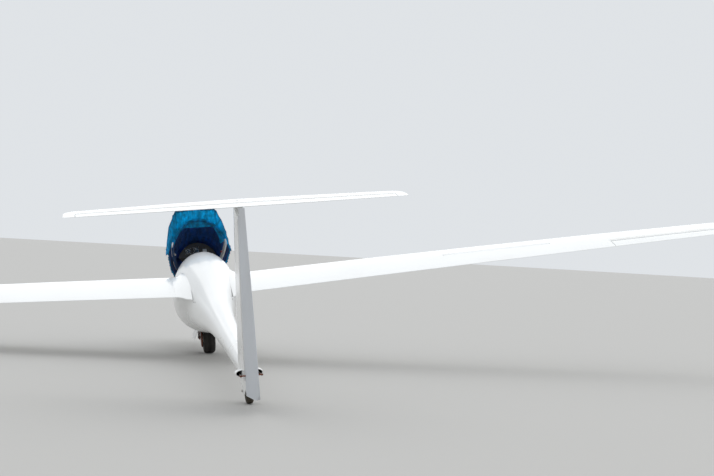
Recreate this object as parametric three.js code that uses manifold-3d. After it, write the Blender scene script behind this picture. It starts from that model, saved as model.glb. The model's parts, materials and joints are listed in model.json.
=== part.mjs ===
// A single-seat sailplane, parked on its two wheels and its left wing tip, with its canopy raised.
// Millimetres, +Z up, nose towards +Y and the right wing towards +X.
// The glider is drawn upright, with both wheels on z = 0 and the main wheel's axle at y = 0, and park() then
// lays it on its left tip skid and puts the middle of its bounding box's base at the origin.

import * as THREE from "three";
import { mergeVertices } from "three/addons/utils/BufferGeometryUtils.js";
import Module from "manifold-3d";

const wasm = await Module();
wasm.setup();

const DEG = Math.PI / 180;
const GAP = 0.3; // between pieces that touch
const RUNNING = 5.5; // between pieces that move past each other
const LUG_CLEAR = 0.8; // between a hinge lug and the round nose that turns in it

// Driving dimensions
const WHEELBASE = 4200;
const HALF_SPAN = 7500;
const NOSE_Y = 1850;
const WALL = 14; // the fuselage shell around the cockpit

// Main wheel: a 5.00-5 tyre
const TYRE_R = 180;
const TYRE_W = 125;
const RIM_R = 88;
const AXLE_R = 12;
const BRAKE_R = 108;
const LEG_X = 96;
const LEG_W = 12;
const BAY = { halfWidth: 108, front: 245, rear: -245, top: 560 };

// Tail wheel
const TAIL_TYRE_R = 100;
const TAIL_TYRE_W = 56;
const TAIL_SLOT_HALF = 36;

// Wing
const WING_Z = 785; // leading edge at the centre line
const WING_INCIDENCE = 8.5 * DEG;
const DIHEDRAL = 2.5 * DEG;
const SAG = 90; // how far the tip droops under its own weight
const ROOT_X = 360;
const AILERON = { from: 4350, to: 7080, hinge: 0.79 };
const BRAKE = { from: 2500, to: 3700, chordShare: 0.56, slotHalf: 18, depth: 74, plate: 3 };

// Tail
const RUDDER_FOOT = { y: -4470, z: 95 };
const RUDDER_HEAD = { y: -4560, z: 1462 };
const RUDDER_TURN = 1.5 * DEG; // trailing edge to the right, as parked
const hingeY = (z) =>
  RUDDER_FOOT.y + ((RUDDER_HEAD.y - RUDDER_FOOT.y) * (z - RUDDER_FOOT.z)) / (RUDDER_HEAD.z - RUDDER_FOOT.z);
const ELEVATOR_AXIS = { y: -4440, z: 1488 };
const TAILPLANE_HALF = 1260;
const TAILPLANE_INCIDENCE = 6 * DEG;

// Canopy, which turns about an axis inside the nose
const CANOPY_AXIS = { y: 1610, z: 672 };
const CANOPY_OPEN = 18 * DEG;
const CANOPY_BAND = 36;
const FRAME_DEPTH = 16;
const CANOPY_GAP = 6;

// Finishes
const finish = (colour, roughness, metalness = 0) =>
  new THREE.MeshStandardMaterial({ color: colour, roughness, metalness });
const GELCOAT = finish(0xf2f3f3, 0.15);
const GREY_PAINT = finish(0xb9bcbd, 0.5);
const BLACK = finish(0x141516, 0.6);
const RUBBER = finish(0x1b1a19, 0.85);
const ALUMINIUM = finish(0xb5b8ba, 0.35, 0.9);
const RUSTY = finish(0x4b1f17, 0.7, 0.4);
const CLOTH = finish(0x0f4f8c, 0.9);
const CLEAR = finish(0xcfe3e8, 0.05);
const UPHOLSTERY = finish(0x5a5d62, 0.95);

const glider = new THREE.Group();
const vector = (x = 0, y = 0, z = 0) => new THREE.Vector3(x, y, z);

// A moving body: a group whose origin lies on its axis and whose own +X runs along it.
// Its pieces are drawn where they lie at rest angle 0, and turn is how far it stands turned when parked.
function movingBody(name, origin, axis, turn = 0) {
  const body = new THREE.Group();
  body.name = name;
  body.position.copy(origin);
  body.quaternion.setFromUnitVectors(vector(1, 0, 0), axis.clone().normalize());
  body.updateMatrix();
  body.userData.fromDrawn = body.matrix.clone().invert();
  body.rotateX(turn);
  glider.add(body);
  return body;
}

function addPiece(name, geometry, material, body = glider) {
  if (body.userData.fromDrawn) geometry.applyMatrix4(body.userData.fromDrawn);
  const mesh = new THREE.Mesh(geometry, material);
  mesh.name = name;
  body.add(mesh);
  return mesh;
}

// Solids

function toSolid(geometry) {
  let g = geometry.clone();
  g.deleteAttribute("normal");
  g.deleteAttribute("uv");
  g = mergeVertices(g, 1e-3);
  return new wasm.Manifold(
    new wasm.Mesh({
      numProp: 3,
      vertProperties: Float32Array.from(g.attributes.position.array),
      triVerts: Uint32Array.from(g.index.array),
    }),
  );
}

function toGeometry(solid) {
  const mesh = solid.getMesh();
  const geometry = new THREE.BufferGeometry();
  geometry.setAttribute("position", new THREE.BufferAttribute(mesh.vertProperties, 3));
  geometry.setIndex(new THREE.BufferAttribute(mesh.triVerts, 1));
  geometry.computeVertexNormals();
  return geometry;
}

const cut = (body, ...tools) =>
  toGeometry(tools.reduce((solid, tool) => solid.subtract(toSolid(tool)), toSolid(body)));
const join = (first, ...others) =>
  toGeometry(others.reduce((solid, other) => solid.add(toSolid(other)), toSolid(first)));
const common = (a, b) => toGeometry(toSolid(a).intersect(toSolid(b)));

// A closed skin over rings of equal length: each end is a flat face, or runs to a point where a tip is given
function loft(rings, tips = [null, null]) {
  const count = rings[0].length;
  const points = rings.flat();
  const faces = [];
  for (let i = 0; i + 1 < rings.length; i++) {
    for (let j = 0; j < count; j++) {
      const a = i * count + j;
      const b = i * count + ((j + 1) % count);
      faces.push(a, b, b + count, a, b + count, a + count);
    }
  }
  for (const end of [0, 1]) {
    const base = end ? (rings.length - 1) * count : 0;
    const turn = end ? 1 : -1;
    if (tips[end]) {
      const tip = points.push(tips[end]) - 1;
      for (let j = 0; j < count; j++) {
        const pair = [base + j, base + ((j + 1) % count)];
        faces.push(...(turn > 0 ? pair : pair.reverse()), tip);
      }
    } else {
      for (const [a, b, c] of capTriangles(rings[end ? rings.length - 1 : 0])) {
        faces.push(base + a, ...(turn > 0 ? [base + b, base + c] : [base + c, base + b]));
      }
    }
  }
  return facingOut(points, faces);
}

// Triangles over a flat ring, wound with the ring
function capTriangles(ring) {
  const normal = vector();
  ring.forEach((p, i) => normal.add(vector().crossVectors(p, ring[(i + 1) % ring.length])));
  const flatten = new THREE.Quaternion().setFromUnitVectors(normal.normalize(), vector(0, 0, 1));
  const flat = ring.map((p) => {
    const q = p.clone().applyQuaternion(flatten);
    return new THREE.Vector2(q.x, q.y);
  });
  return THREE.ShapeUtils.triangulateShape(flat, []);
}

// An indexed geometry whose faces all point out, whichever way its rings ran
function facingOut(points, faces) {
  let volume = 0;
  for (let i = 0; i < faces.length; i += 3) {
    const [a, b, c] = [points[faces[i]], points[faces[i + 1]], points[faces[i + 2]]];
    volume += a.dot(vector().crossVectors(b, c));
  }
  if (volume < 0) faces.reverse();
  const geometry = new THREE.BufferGeometry().setFromPoints(points);
  geometry.setIndex(faces);
  geometry.computeVertexNormals();
  return geometry;
}

function box(x0, x1, y0, y1, z0, z1) {
  const g = new THREE.BoxGeometry(x1 - x0, y1 - y0, z1 - z0);
  return g.translate((x0 + x1) / 2, (y0 + y1) / 2, (z0 + z1) / 2);
}

// A side profile of [y, z] points, extruded across the glider from x0 to x1
function sideProfile(points, x0, x1) {
  const ring = (x) => points.map(([y, z]) => vector(x, y, z));
  return loft([ring(x0), ring(x1)]);
}

// A round bar across the glider
function crossBar(r, x0, x1, y, z, sides = 20) {
  return new THREE.CylinderGeometry(r, r, x1 - x0, sides).rotateZ(Math.PI / 2).translate((x0 + x1) / 2, y, z);
}

// A ring turned about the X axis, from a profile of [radius, x] points
function turned(profile, sides = 40) {
  const outline = [...profile, profile[0]].map(([r, x]) => new THREE.Vector2(r, x));
  const g = new THREE.LatheGeometry(outline, sides).rotateZ(-Math.PI / 2);
  const merged = mergeVertices(stripped(g), 1e-3);
  const at = merged.attributes.position;
  const points = Array.from({ length: at.count }, (_, i) => vector().fromBufferAttribute(at, i));
  const faces = [];
  const index = merged.index.array;
  for (let i = 0; i < index.length; i += 3) {
    const [a, b, c] = index.slice(i, i + 3);
    if (a !== b && b !== c && c !== a) faces.push(a, b, c);
  }
  return facingOut(points, faces);
}

function stripped(geometry) {
  geometry.deleteAttribute("normal");
  geometry.deleteAttribute("uv");
  return geometry;
}

// A tube of round section along a curve
function tube(points, r, steps = 24, sides = 10) {
  const section = new THREE.Shape().absarc(0, 0, r, 0, 2 * Math.PI);
  const path = new THREE.CatmullRomCurve3(points.map((p) => vector(...p)));
  return new THREE.ExtrudeGeometry(section, { extrudePath: path, steps, curveSegments: sides / 2 });
}

// Fuselage form

const FUSELAGE = [
  // behind the nose, half width, top, bottom
  [0, 0, 530, 530],
  [60, 92, 612, 455],
  [200, 162, 700, 396],
  [400, 214, 795, 350],
  [650, 256, 893, 312],
  [950, 296, 985, 284],
  [1250, 320, 1048, 266],
  [1550, 334, 1080, 255],
  [1850, 334, 1085, 252],
  [2150, 316, 1060, 257],
  [2500, 270, 985, 272],
  [2900, 205, 868, 297],
  [3300, 160, 745, 322],
  [3800, 126, 632, 330],
  [4500, 100, 522, 308],
  [5200, 80, 430, 262],
  [5900, 64, 342, 208],
  [6285, 54, 297, 184],
];
const FUSELAGE_END = FUSELAGE.at(-1)[0];
const SECTION_POWER = { above: 2.05, below: 2.4 }; // 2 is an ellipse
const WIDEST = 0.43; // share of the height where the section is widest
const STATIONS = 32;
const AROUND = 36;

// A smooth curve through one column of the table, over the square root of the distance: so the nose is round
function fair(column) {
  const s = FUSELAGE.map((row) => Math.sqrt(row[0]));
  const v = FUSELAGE.map((row) => row[column]);
  const slope = v.map((_, i) => {
    const a = Math.max(i - 1, 0);
    const b = Math.min(i + 1, v.length - 1);
    return (v[b] - v[a]) / (s[b] - s[a]);
  });
  return (distance) => {
    const x = Math.sqrt(distance);
    let i = 0;
    while (i < s.length - 2 && x > s[i + 1]) i++;
    const h = s[i + 1] - s[i];
    const t = (x - s[i]) / h;
    const [t2, t3] = [t * t, t * t * t];
    return (
      (2 * t3 - 3 * t2 + 1) * v[i] +
      (t3 - 2 * t2 + t) * h * slope[i] +
      (3 * t2 - 2 * t3) * v[i + 1] +
      (t3 - t2) * h * slope[i + 1]
    );
  };
}
const [halfWidthAt, topAt, bottomAt] = [fair(1), fair(2), fair(3)];

// The fuselage section at a distance behind the nose, with its skin moved out by grow
function fuselageRing(distance, grow = 0, count = AROUND) {
  const half = halfWidthAt(distance) + grow;
  const top = topAt(distance) + grow;
  const bottom = bottomAt(distance) - grow;
  const middle = bottom + WIDEST * (top - bottom);
  return Array.from({ length: count }, (_, i) => {
    const angle = (2 * Math.PI * i) / count;
    const [c, s] = [Math.cos(angle), Math.sin(angle)];
    const power = 2 / (s > 0 ? SECTION_POWER.above : SECTION_POWER.below);
    const z = Math.sign(s) * Math.abs(s) ** power;
    return vector(
      Math.sign(c) * Math.abs(c) ** power * half,
      NOSE_Y - distance,
      middle + z * (z > 0 ? top - middle : middle - bottom),
    );
  });
}

// The fuselage form between two distances, grown or shrunk
function fuselageForm(from, to, grow = 0, stations = STATIONS, count = AROUND) {
  const [a, b] = [Math.sqrt(from), Math.sqrt(to)];
  const rings = Array.from({ length: stations }, (_, i) => {
    const s = a + ((b - a) * (i + (from ? 0 : 1))) / (stations - (from ? 1 : 0));
    return fuselageRing(s * s, grow, count);
  });
  const tip = from ? null : vector(0, NOSE_Y, FUSELAGE[0][2]);
  return loft(rings, [tip, null]);
}

// Aerofoil surfaces

const FOIL_POINTS = 11; // on each of the upper and lower sides
const NOSE_POINTS = 6; // round the nose of a control surface

// Half thickness of the section at a share of the chord, for a chord of 1
const halfThickness = (c, thickness) =>
  5 * thickness *
  (0.2969 * Math.sqrt(c) - 0.126 * c - 0.3516 * c ** 2 + 0.2843 * c ** 3 - 0.1015 * c ** 4) + 0.0012;

// The section from one share of the chord to another, as [along, up] in millimetres.
// A control surface starts with a round nose about its hinge, and a fixed one with the leading edge.
function section({ chord, thickness, camber = 0 }, from = 0, to = 1) {
  const up = (c) => 4 * camber * c * (1 - c);
  const side = (sign) =>
    Array.from({ length: FOIL_POINTS }, (_, i) => {
      const t = (1 - Math.cos((Math.PI * i) / (FOIL_POINTS - 1))) / 2;
      const share = from ? i / (FOIL_POINTS - 1) : t;
      const c = from + (to - from) * share;
      return [c * chord, (up(c) + sign * halfThickness(c, thickness)) * chord];
    });
  const [upper, lower] = [side(1), side(-1)];
  if (!from) return [...upper.slice(1).reverse(), [0, 0], ...lower.slice(1)];
  const r = halfThickness(from, thickness) * chord;
  const nose = Array.from({ length: NOSE_POINTS }, (_, i) => {
    const angle = (Math.PI * (i + 1)) / (NOSE_POINTS + 1);
    return [from * chord - r * Math.sin(angle), up(from) * chord + r * Math.cos(angle)];
  });
  return [...upper.reverse(), ...nose, ...lower];
}

// Wing

const WING = [
  // out from the centre line, leading edge y, chord, thickness
  [ROOT_X, -85, 868, 0.138],
  [1600, -90, 830, 0.134],
  [3000, -104, 766, 0.13],
  [4320, -124, 684, 0.127],
  [5600, -166, 582, 0.123],
  [6600, -222, 465, 0.12],
  [7100, -268, 388, 0.118],
  [7340, -306, 328, 0.116],
  [7460, -345, 262, 0.114],
  [HALF_SPAN, -385, 196, 0.1],
];
const WING_CAMBER = 0.026;

function wingAt(x) {
  let i = 0;
  while (i < WING.length - 2 && x > WING[i + 1][0]) i++;
  const [a, b] = [WING[i], WING[i + 1]];
  const t = (x - a[0]) / (b[0] - a[0]);
  const [leadingY, chord, thickness] = [1, 2, 3].map((k) => a[k] + (b[k] - a[k]) * t);
  const z = WING_Z + x * Math.tan(DIHEDRAL) - SAG * (x / HALF_SPAN) ** 2;
  return { x, leadingY, chord, thickness, camber: WING_CAMBER, z };
}

// A point of the wing from its distance behind the leading edge and its height off the chord line
function wingPoint(side, at, along, up) {
  const [c, s] = [Math.cos(WING_INCIDENCE), Math.sin(WING_INCIDENCE)];
  return vector(side * at.x, at.leadingY - along * c - up * s, at.z - along * s + up * c);
}

function wingRing(side, x, from = 0, to = 1) {
  const at = wingAt(x);
  return section(at, from, to).map(([along, up]) => wingPoint(side, at, along, up));
}

const steps = (from, to, count) =>
  Array.from({ length: count }, (_, i) => from + ((to - from) * i) / (count - 1));
const tableStations = WING.map((row) => row[0]);

// The point halfway through the wing at a span station and share of the chord
function camberPoint(side, x, share) {
  const at = wingAt(x);
  return wingPoint(side, at, share * at.chord, 4 * WING_CAMBER * share * (1 - share) * at.chord);
}

// A frame in the wing at a span station and share of the chord: x right, y forward, z up off the surface
function wingFrame(side, x, share) {
  const origin = camberPoint(side, x, share);
  const reach = 100;
  const out = camberPoint(side, x + reach, share).sub(origin).normalize().multiplyScalar(side);
  const ahead = vector(0, Math.cos(WING_INCIDENCE), Math.sin(WING_INCIDENCE));
  const up = vector().crossVectors(out, ahead).normalize();
  const forward = vector().crossVectors(up, out);
  return new THREE.Matrix4().makeBasis(out, forward, up).setPosition(origin);
}

// The aileron's hinge line is straight, so its share of the chord changes along the span
const [hingeIn, hingeOut] = [AILERON.from, AILERON.to].map((x) => camberPoint(1, x, AILERON.hinge));
function aileronShare(x) {
  const y = hingeIn.y + ((hingeOut.y - hingeIn.y) * (x - AILERON.from)) / (AILERON.to - AILERON.from);
  const deep = wingAt(x).chord * Math.cos(WING_INCIDENCE);
  const passes = 3;
  let share = AILERON.hinge;
  for (let i = 0; i < passes; i++) share += (camberPoint(1, x, share).y - y) / deep;
  return share;
}

function aileronNose(x) {
  const at = wingAt(x);
  return halfThickness(aileronShare(x), at.thickness) * at.chord;
}

const aileronStations = [AILERON.from, 5000, 5600, 6200, 6600, AILERON.to];

// The notch that the aileron turns in: a plan outline cut through the wing from top to bottom
function aileronNotch(side) {
  const from = AILERON.from - RUNNING;
  const to = AILERON.to + RUNNING;
  const front = aileronStations.map((x, i) => {
    const edge = camberPoint(1, x, aileronShare(x)).y + aileronNose(x) + RUNNING;
    return [i === 0 ? from : i === aileronStations.length - 1 ? to : x, edge];
  });
  const behindWing = -1200;
  const [belowWing, aboveWing] = [500, 1300];
  const corners = [...front, [to, behindWing], [from, behindWing]];
  const ring = (z) => corners.map(([x, y]) => vector(side * x, y, z));
  return loft([ring(belowWing), ring(aboveWing)]);
}

const brakeMiddle = (BRAKE.from + BRAKE.to) / 2;
const brakeLength = BRAKE.to - BRAKE.from;

// Each airbrake piece is a box in the frame of the slot
const brakeFrame = (side) => wingFrame(side, brakeMiddle, BRAKE.chordShare);
function brakeBox(side, halfLength, y0, y1, z0, z1) {
  return box(-halfLength, halfLength, y0, y1, z0, z1).applyMatrix4(brakeFrame(side));
}

// Height of the wing's skin over the slot's frame, and the plates' levels under it
const brakeAt = wingAt(brakeMiddle);
const skinUp = halfThickness(BRAKE.chordShare, brakeAt.thickness) * brakeAt.chord;
const CAP_DEPTH = 7;
const SKIN_SLOPE = 4; // how much lower the skin lies at the slot's rear edge and outer end
const ABOVE_SKIN = 40; // how far a cut reaches out of the wing
const slotFloor = skinUp - BRAKE.depth;
const capBottom = skinUp - CAP_DEPTH - SKIN_SLOPE;
const lowerTop = capBottom - RUNNING;
const TIP_X = 7330; // where the tip skid stands

// A hinge lug ahead of a control surface: a small block that reaches to the surface's round nose
const LUG_HALF = 5;
function hingeLug({ x, y, z }, nose, halfHeight = 3, root = 12) {
  const from = y + nose + LUG_CLEAR;
  return box(x - LUG_HALF, x + LUG_HALF, from, y + nose + RUNNING + root, z - halfHeight, z + halfHeight);
}

for (const [word, side] of [["left", -1], ["right", 1]]) {
  const whole = loft(tableStations.map((x) => wingRing(side, x)));
  const half = brakeLength / 2;
  const slot = brakeBox(side, half, -BRAKE.slotHalf, BRAKE.slotHalf, slotFloor, skinUp + ABOVE_SKIN);
  const aileronLugs = [4700, 5700, 6700].map((x) =>
    hingeLug(camberPoint(side, x, aileronShare(x)), aileronNose(x)));
  addPiece(`wing_${word}`, join(cut(whole, aileronNotch(side), slot), ...aileronLugs), GELCOAT);

  // The left aileron's axis points right and the right one's left, so that equal turns roll the glider
  const [inner, outer] = [hingeIn, hingeOut].map((p) => vector(side * p.x, p.y, p.z));
  const aileron = movingBody(`aileron_${word}`, inner, inner.clone().sub(outer));
  const rings = aileronStations.map((x) => wingRing(side, x, aileronShare(x)));
  addPiece(`aileron_${word}`, loft(rings), GELCOAT, aileron);

  // The cap is a strip of the wing's own skin over the upper plate.
  // The lower plate carries it in end channels.
  // Both plates slide out along the slot's own up direction.
  const slotAt = vector(0, 0, 0).applyMatrix4(brakeFrame(side));
  const slotUp = vector(0, 0, 1).transformDirection(brakeFrame(side));
  const lowerBrake = movingBody(`airbrake_lower_${word}`, slotAt, slotUp);
  const upperBrake = movingBody(`airbrake_upper_${word}`, slotAt, slotUp);
  const capHalf = BRAKE.slotHalf - RUNNING;
  const capSpace = brakeBox(side, half - RUNNING, -capHalf, capHalf, capBottom, skinUp + ABOVE_SKIN);
  const upperPlate = brakeBox(side, half - 24, 3, 3 + BRAKE.plate, slotFloor + 12, capBottom + 1);
  addPiece(`airbrake_upper_${word}`, join(common(whole, capSpace), upperPlate), ALUMINIUM, upperBrake);
  const lowerPlate = brakeBox(side, half - 10, -6 - BRAKE.plate, -6, slotFloor + GAP, lowerTop);
  const posts = cut(
    brakeBox(side, half - 10, -7, 11, slotFloor + GAP, lowerTop),
    brakeBox(side, half - 28, -10, 20, slotFloor - 10, lowerTop + 10),
    brakeBox(side, half - 23.5, 2.5, 6.5, slotFloor - 10, lowerTop + 10),
  );
  addPiece(`airbrake_lower_${word}`, join(lowerPlate, posts), ALUMINIUM, lowerBrake);

  // Tip skid: a small fin of rubber under the tip
  const tip = wingAt(TIP_X);
  const under = wingPoint(side, tip, tip.chord * 0.4, -0.4 * tip.thickness * tip.chord);
  const skidRing = ([x, drop, length]) => {
    const foot = [[length * 0.75, -drop * 0.7], [length * 0.2, -drop], [-length * 0.5, -drop * 0.9]];
    return [[-length, 30], [length, 30], ...foot].map(([y, z]) => vector(side * x, under.y + y, under.z + z));
  };
  const skid = loft([[TIP_X - 9, 38, 66], [TIP_X, 46, 74], [TIP_X + 9, 38, 66]].map(skidRing));
  const clearOfWing = whole.clone().translate(0, 0, -GAP);
  const inWing = box(side * TIP_X - 60, side * TIP_X + 60, -800, 0, under.z + 12, under.z + 90);
  addPiece(`tip_skid_${word}`, cut(skid, clearOfWing, inWing), RUBBER);
}

// Fuselage, with the wing roots, the cockpit, the wheel bay and the tail wheel's housing

// The canopy's outline from the side, along the sill and up behind the pilot's head, moved in by inset
function canopyProfile(inset) {
  const sill = new THREE.CatmullRomCurve3(
    [[1556, 800], [1540, 750], [1480, 728], [1300, 722], [1000, 728], [700, 744], [420, 772]]
      .map(([y, z]) => vector(0, y, z)), false, "catmullrom", 0.5,
  ).getPoints(14).map((p) => [p.y, p.z]);
  const outline = [...sill, [362, 790], [338, 830], [322, 1250], [1556, 1250]];
  return outline.map(([y, z], i) => {
    const before = outline.at(i - 1);
    const after = outline[(i + 1) % outline.length];
    const edges = [[y - before[0], z - before[1]], [after[0] - y, after[1] - z]];
    const [m, n] = edges.map(([dy, dz]) => vector(0, dz, -dy).normalize());
    const share = 1 + m.dot(n);
    const corner = m.add(n).divideScalar(share);
    return [y + corner.y * inset, z + corner.z * inset];
  });
}

const COCKPIT_REAR = NOSE_Y - 275;
const outer = fuselageForm(0, FUSELAGE_END);
const clearSkin = fuselageForm(0, FUSELAGE_END, 2 * GAP); // cuts what rests on the fuselage
const PAST_SIDES = 420; // past the fuselage on each side
const canopyVolume = (inset) => sideProfile(canopyProfile(inset), -PAST_SIDES, PAST_SIDES);

// A wing root: the wing's own section, growing thicker and longer towards the fuselage
function wingRoot(side) {
  const rows = [
    // out from the centre line, added chord, thickness scale
    [ROOT_X - GAP, 0, 1],
    [335, 10, 1.02],
    [310, 34, 1.1],
    [285, 78, 1.24],
    [255, 150, 1.5],
    [200, 200, 1.7],
  ];
  const root = wingAt(ROOT_X);
  return loft(rows.map(([x, added, scale]) => {
    const at = { ...root, x, chord: root.chord + added, thickness: root.thickness * scale };
    at.leadingY += added * 0.3;
    return section(at).map(([along, up]) => wingPoint(side, at, along, up));
  }));
}

// The tail wheel's housing: a smooth blister under the boom
function tailHousing(grow = 0) {
  const rows = [
    // height, front, rear, half width
    [70, 92, -92, 36],
    [84, 128, -124, 45],
    [120, 165, -165, 51],
    [170, 205, -200, 55],
    [240, 250, -225, 56],
  ];
  const around = 24;
  return loft(rows.map(([z, front, rear, half]) => Array.from({ length: around }, (_, i) => {
    const angle = (2 * Math.PI * i) / around;
    const along = Math.sin(angle);
    const y = -WHEELBASE + (along > 0 ? along * (front + grow) : -along * (rear - grow));
    return vector(Math.cos(angle) * (half + grow), y, z);
  })));
}

const STERN_CLEAR = 51; // the rudder's nose radius at the foot, and running clearance
const [CAVITY_FRONT, CAVITY_STATIONS, CAVITY_AROUND] = [190, 12, 28];
const insideShell = (clear = 2 * GAP) =>
  fuselageForm(CAVITY_FRONT, COCKPIT_REAR, -WALL - clear, CAVITY_STATIONS, CAVITY_AROUND);
const bay = box(-BAY.halfWidth, BAY.halfWidth, BAY.rear, BAY.front, 100, BAY.top);
const tailSlot = box(
  -TAIL_SLOT_HALF, TAIL_SLOT_HALF, -WHEELBASE - TAIL_TYRE_R - 12, -WHEELBASE + TAIL_TYRE_R + 12, 0, 218);
const sternEdge = [0, 420].map((z) => [hingeY(z) + STERN_CLEAR, z]);
const sternCut = sideProfile([...sternEdge, [-5200, 420], [-5200, 0]], -200, 200);
const form = join(outer, wingRoot(-1), wingRoot(1), tailHousing());
addPiece("fuselage", cut(form, insideShell(0), canopyVolume(0), bay, tailSlot, sternCut), GELCOAT);

// Fin and rudder: one symmetrical section, divided at the hinge line

const FIN = [
  // height, whole chord of fin and rudder, hinge as a share of it, thickness
  [95, 1034.3, 0.6, 0.112],
  [330, 1004.3, 0.605, 0.112],
  [700, 880, 0.605, 0.112],
  [1100, 715, 0.617, 0.112],
  [1462, 566, 0.631, 0.112],
  [1540, 540, 0.631, 0.11],
];
function finAt(z) {
  let i = 0;
  while (i < FIN.length - 2 && z > FIN[i + 1][0]) i++;
  const [a, b] = [FIN[i], FIN[i + 1]];
  const t = (z - a[0]) / (b[0] - a[0]);
  const [chord, share, thickness] = [1, 2, 3].map((k) => a[k] + (b[k] - a[k]) * t);
  return { z, chord, share, thickness, leadingY: hingeY(z) + share * chord };
}

function finRing(z, from, to) {
  const at = finAt(z);
  return section(at, from(at), to(at)).map(([along, x]) => vector(x, at.leadingY - along, z));
}

const finEnd = (at) => at.share - halfThickness(at.share, at.thickness) - RUNNING / at.chord;
const finForm = loft(steps(215, 1530, 9).map((z) => finRing(z, () => 0, finEnd)));
const rudderHeights = [RUDDER_FOOT.z, 130, 330, 700, 1100, RUDDER_HEAD.z];
const rudderForm = loft(rudderHeights.map((z) => finRing(z, (at) => at.share, () => 1)));

// Tailplane and elevator

const TAILPLANE = [
  // out from the centre line, chord, thickness
  [0, 500, 0.1],
  [500, 450, 0.1],
  [1000, 384, 0.098],
  [1190, 350, 0.096],
  [1235, 316, 0.09],
  [TAILPLANE_HALF, 262, 0.07],
];
const ELEVATOR_HINGE = 0.72;
const ELEVATOR_HALF = 1170;

function tailplaneAt(x) {
  const out = Math.abs(x);
  let i = 0;
  while (i < TAILPLANE.length - 2 && out > TAILPLANE[i + 1][0]) i++;
  const [a, b] = [TAILPLANE[i], TAILPLANE[i + 1]];
  const t = (out - a[0]) / (b[0] - a[0]);
  return { chord: a[1] + (b[1] - a[1]) * t, thickness: a[2] + (b[2] - a[2]) * t };
}

function tailplaneRing(x, from, to, grow = 0) {
  const at = tailplaneAt(x);
  const [c, s] = [Math.cos(TAILPLANE_INCIDENCE), Math.sin(TAILPLANE_INCIDENCE)];
  return section(at, from, to).map(([a, u]) => {
    const along = a - ELEVATOR_HINGE * at.chord - grow * Math.sign(ELEVATOR_HINGE * at.chord * 0.5 - a);
    const up = u + grow * Math.sign(u);
    return vector(x, ELEVATOR_AXIS.y - along * c - up * s, ELEVATOR_AXIS.z - along * s + up * c);
  });
}

const halfStations = TAILPLANE.map((row) => row[0]).slice(1);
const spanStations = [...halfStations.map((x) => -x).reverse(), 0, ...halfStations];
const tailplaneForm = (grow = 0) => loft(spanStations.map((x) => tailplaneRing(x, 0, 1, grow)));

function elevatorNose(x) {
  const at = tailplaneAt(x);
  return halfThickness(ELEVATOR_HINGE, at.thickness) * at.chord;
}

// The notch that the elevator turns in, cut from above
function elevatorNotch() {
  const edge = (x) => ELEVATOR_AXIS.y + elevatorNose(x) + RUNNING;
  const end = ELEVATOR_HALF + RUNNING;
  const behind = -4900;
  const corners = [[-end, edge(end)], [0, edge(0)], [end, edge(end)], [end, behind], [-end, behind]];
  const ring = (z) => corners.map(([x, y]) => vector(x, y, z));
  return loft([ring(1380), ring(1620)]);
}
const elevatorLugs = [-900, -400, 400, 900].map((x) => hingeLug({ x, ...ELEVATOR_AXIS }, elevatorNose(x)));
addPiece("tailplane", join(cut(tailplaneForm(), elevatorNotch()), ...elevatorLugs), GELCOAT);
const elevator = movingBody("elevator", vector(0, ELEVATOR_AXIS.y, ELEVATOR_AXIS.z), vector(1, 0, 0));
const elevatorStations = [-ELEVATOR_HALF, -1000, -500, 0, 500, 1000, ELEVATOR_HALF];
const elevatorForm = loft(elevatorStations.map((x) => tailplaneRing(x, ELEVATOR_HINGE, 1)));
addPiece("elevator", elevatorForm, GELCOAT, elevator);

// The fin ends under the tailplane and clears the elevator behind it; its foot follows the boom
const FIN_SIDE = 90; // past the fin and rudder on each side
const underElevator = sideProfile(
  [[-4412, 1462], [-4545, 1396], [-4700, 1396], [-4700, 1700], [-4412, 1700]], -FIN_SIDE, FIN_SIDE);
const aboveTailplane = sideProfile(
  [[-4000, 1524], [-4800, 1440], [-4800, 1700], [-4000, 1700]], -FIN_SIDE, FIN_SIDE);
const belowFoot = box(-FIN_SIDE, FIN_SIDE, -4800, -3600, 100, 262);
const rudderLugs = [480, 900, 1300].map((z) => {
  const at = finAt(z);
  return hingeLug(vector(0, hingeY(z), z), halfThickness(at.share, at.thickness) * at.chord, 4, 10);
});
const finHead = cut(join(finForm, ...rudderLugs), tailplaneForm(GAP), aboveTailplane, underElevator);
addPiece("fin", cut(finHead, clearSkin, belowFoot), GELCOAT);

// The rudder's head is stepped down under the elevator, and its foot is notched for the horn
const HORN = { z: 243, reach: 86, behind: 14, ahead: 12, thick: 4 };
const hornY = hingeY(HORN.z);
const hornBox = (half, ahead, grow) => {
  const up = HORN.thick + grow;
  return box(-half, half, hornY - HORN.behind - grow, hornY + ahead, HORN.z - up, HORN.z + up);
};
const headStep = box(-FIN_SIDE, FIN_SIDE, -4588, -4400, 1403, 1600);
const hornNotch = hornBox(FIN_SIDE, 100, GAP);
const FOOT_ROUND = { y: -4760, z: 215, r: 120 };
const footCurve = steps(0, 90 * DEG, 7).map((angle) =>
  [FOOT_ROUND.y - FOOT_ROUND.r * Math.sin(angle), FOOT_ROUND.z - FOOT_ROUND.r * Math.cos(angle)]);
const footCorner = sideProfile(
  [...footCurve, [-4990, FOOT_ROUND.z], [-4990, 40], [FOOT_ROUND.y, 40]], -FIN_SIDE, FIN_SIDE);
const hingeLine = vector(0, RUDDER_HEAD.y - RUDDER_FOOT.y, RUDDER_HEAD.z - RUDDER_FOOT.z);
const rudder = movingBody("rudder", vector(0, RUDDER_FOOT.y, RUDDER_FOOT.z), hingeLine, RUDDER_TURN);
addPiece("rudder", cut(rudderForm, headStep, hornNotch, footCorner), GREY_PAINT, rudder);
addPiece("rudder_horn", hornBox(HORN.reach, HORN.ahead, 0), RUSTY, rudder);

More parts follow.
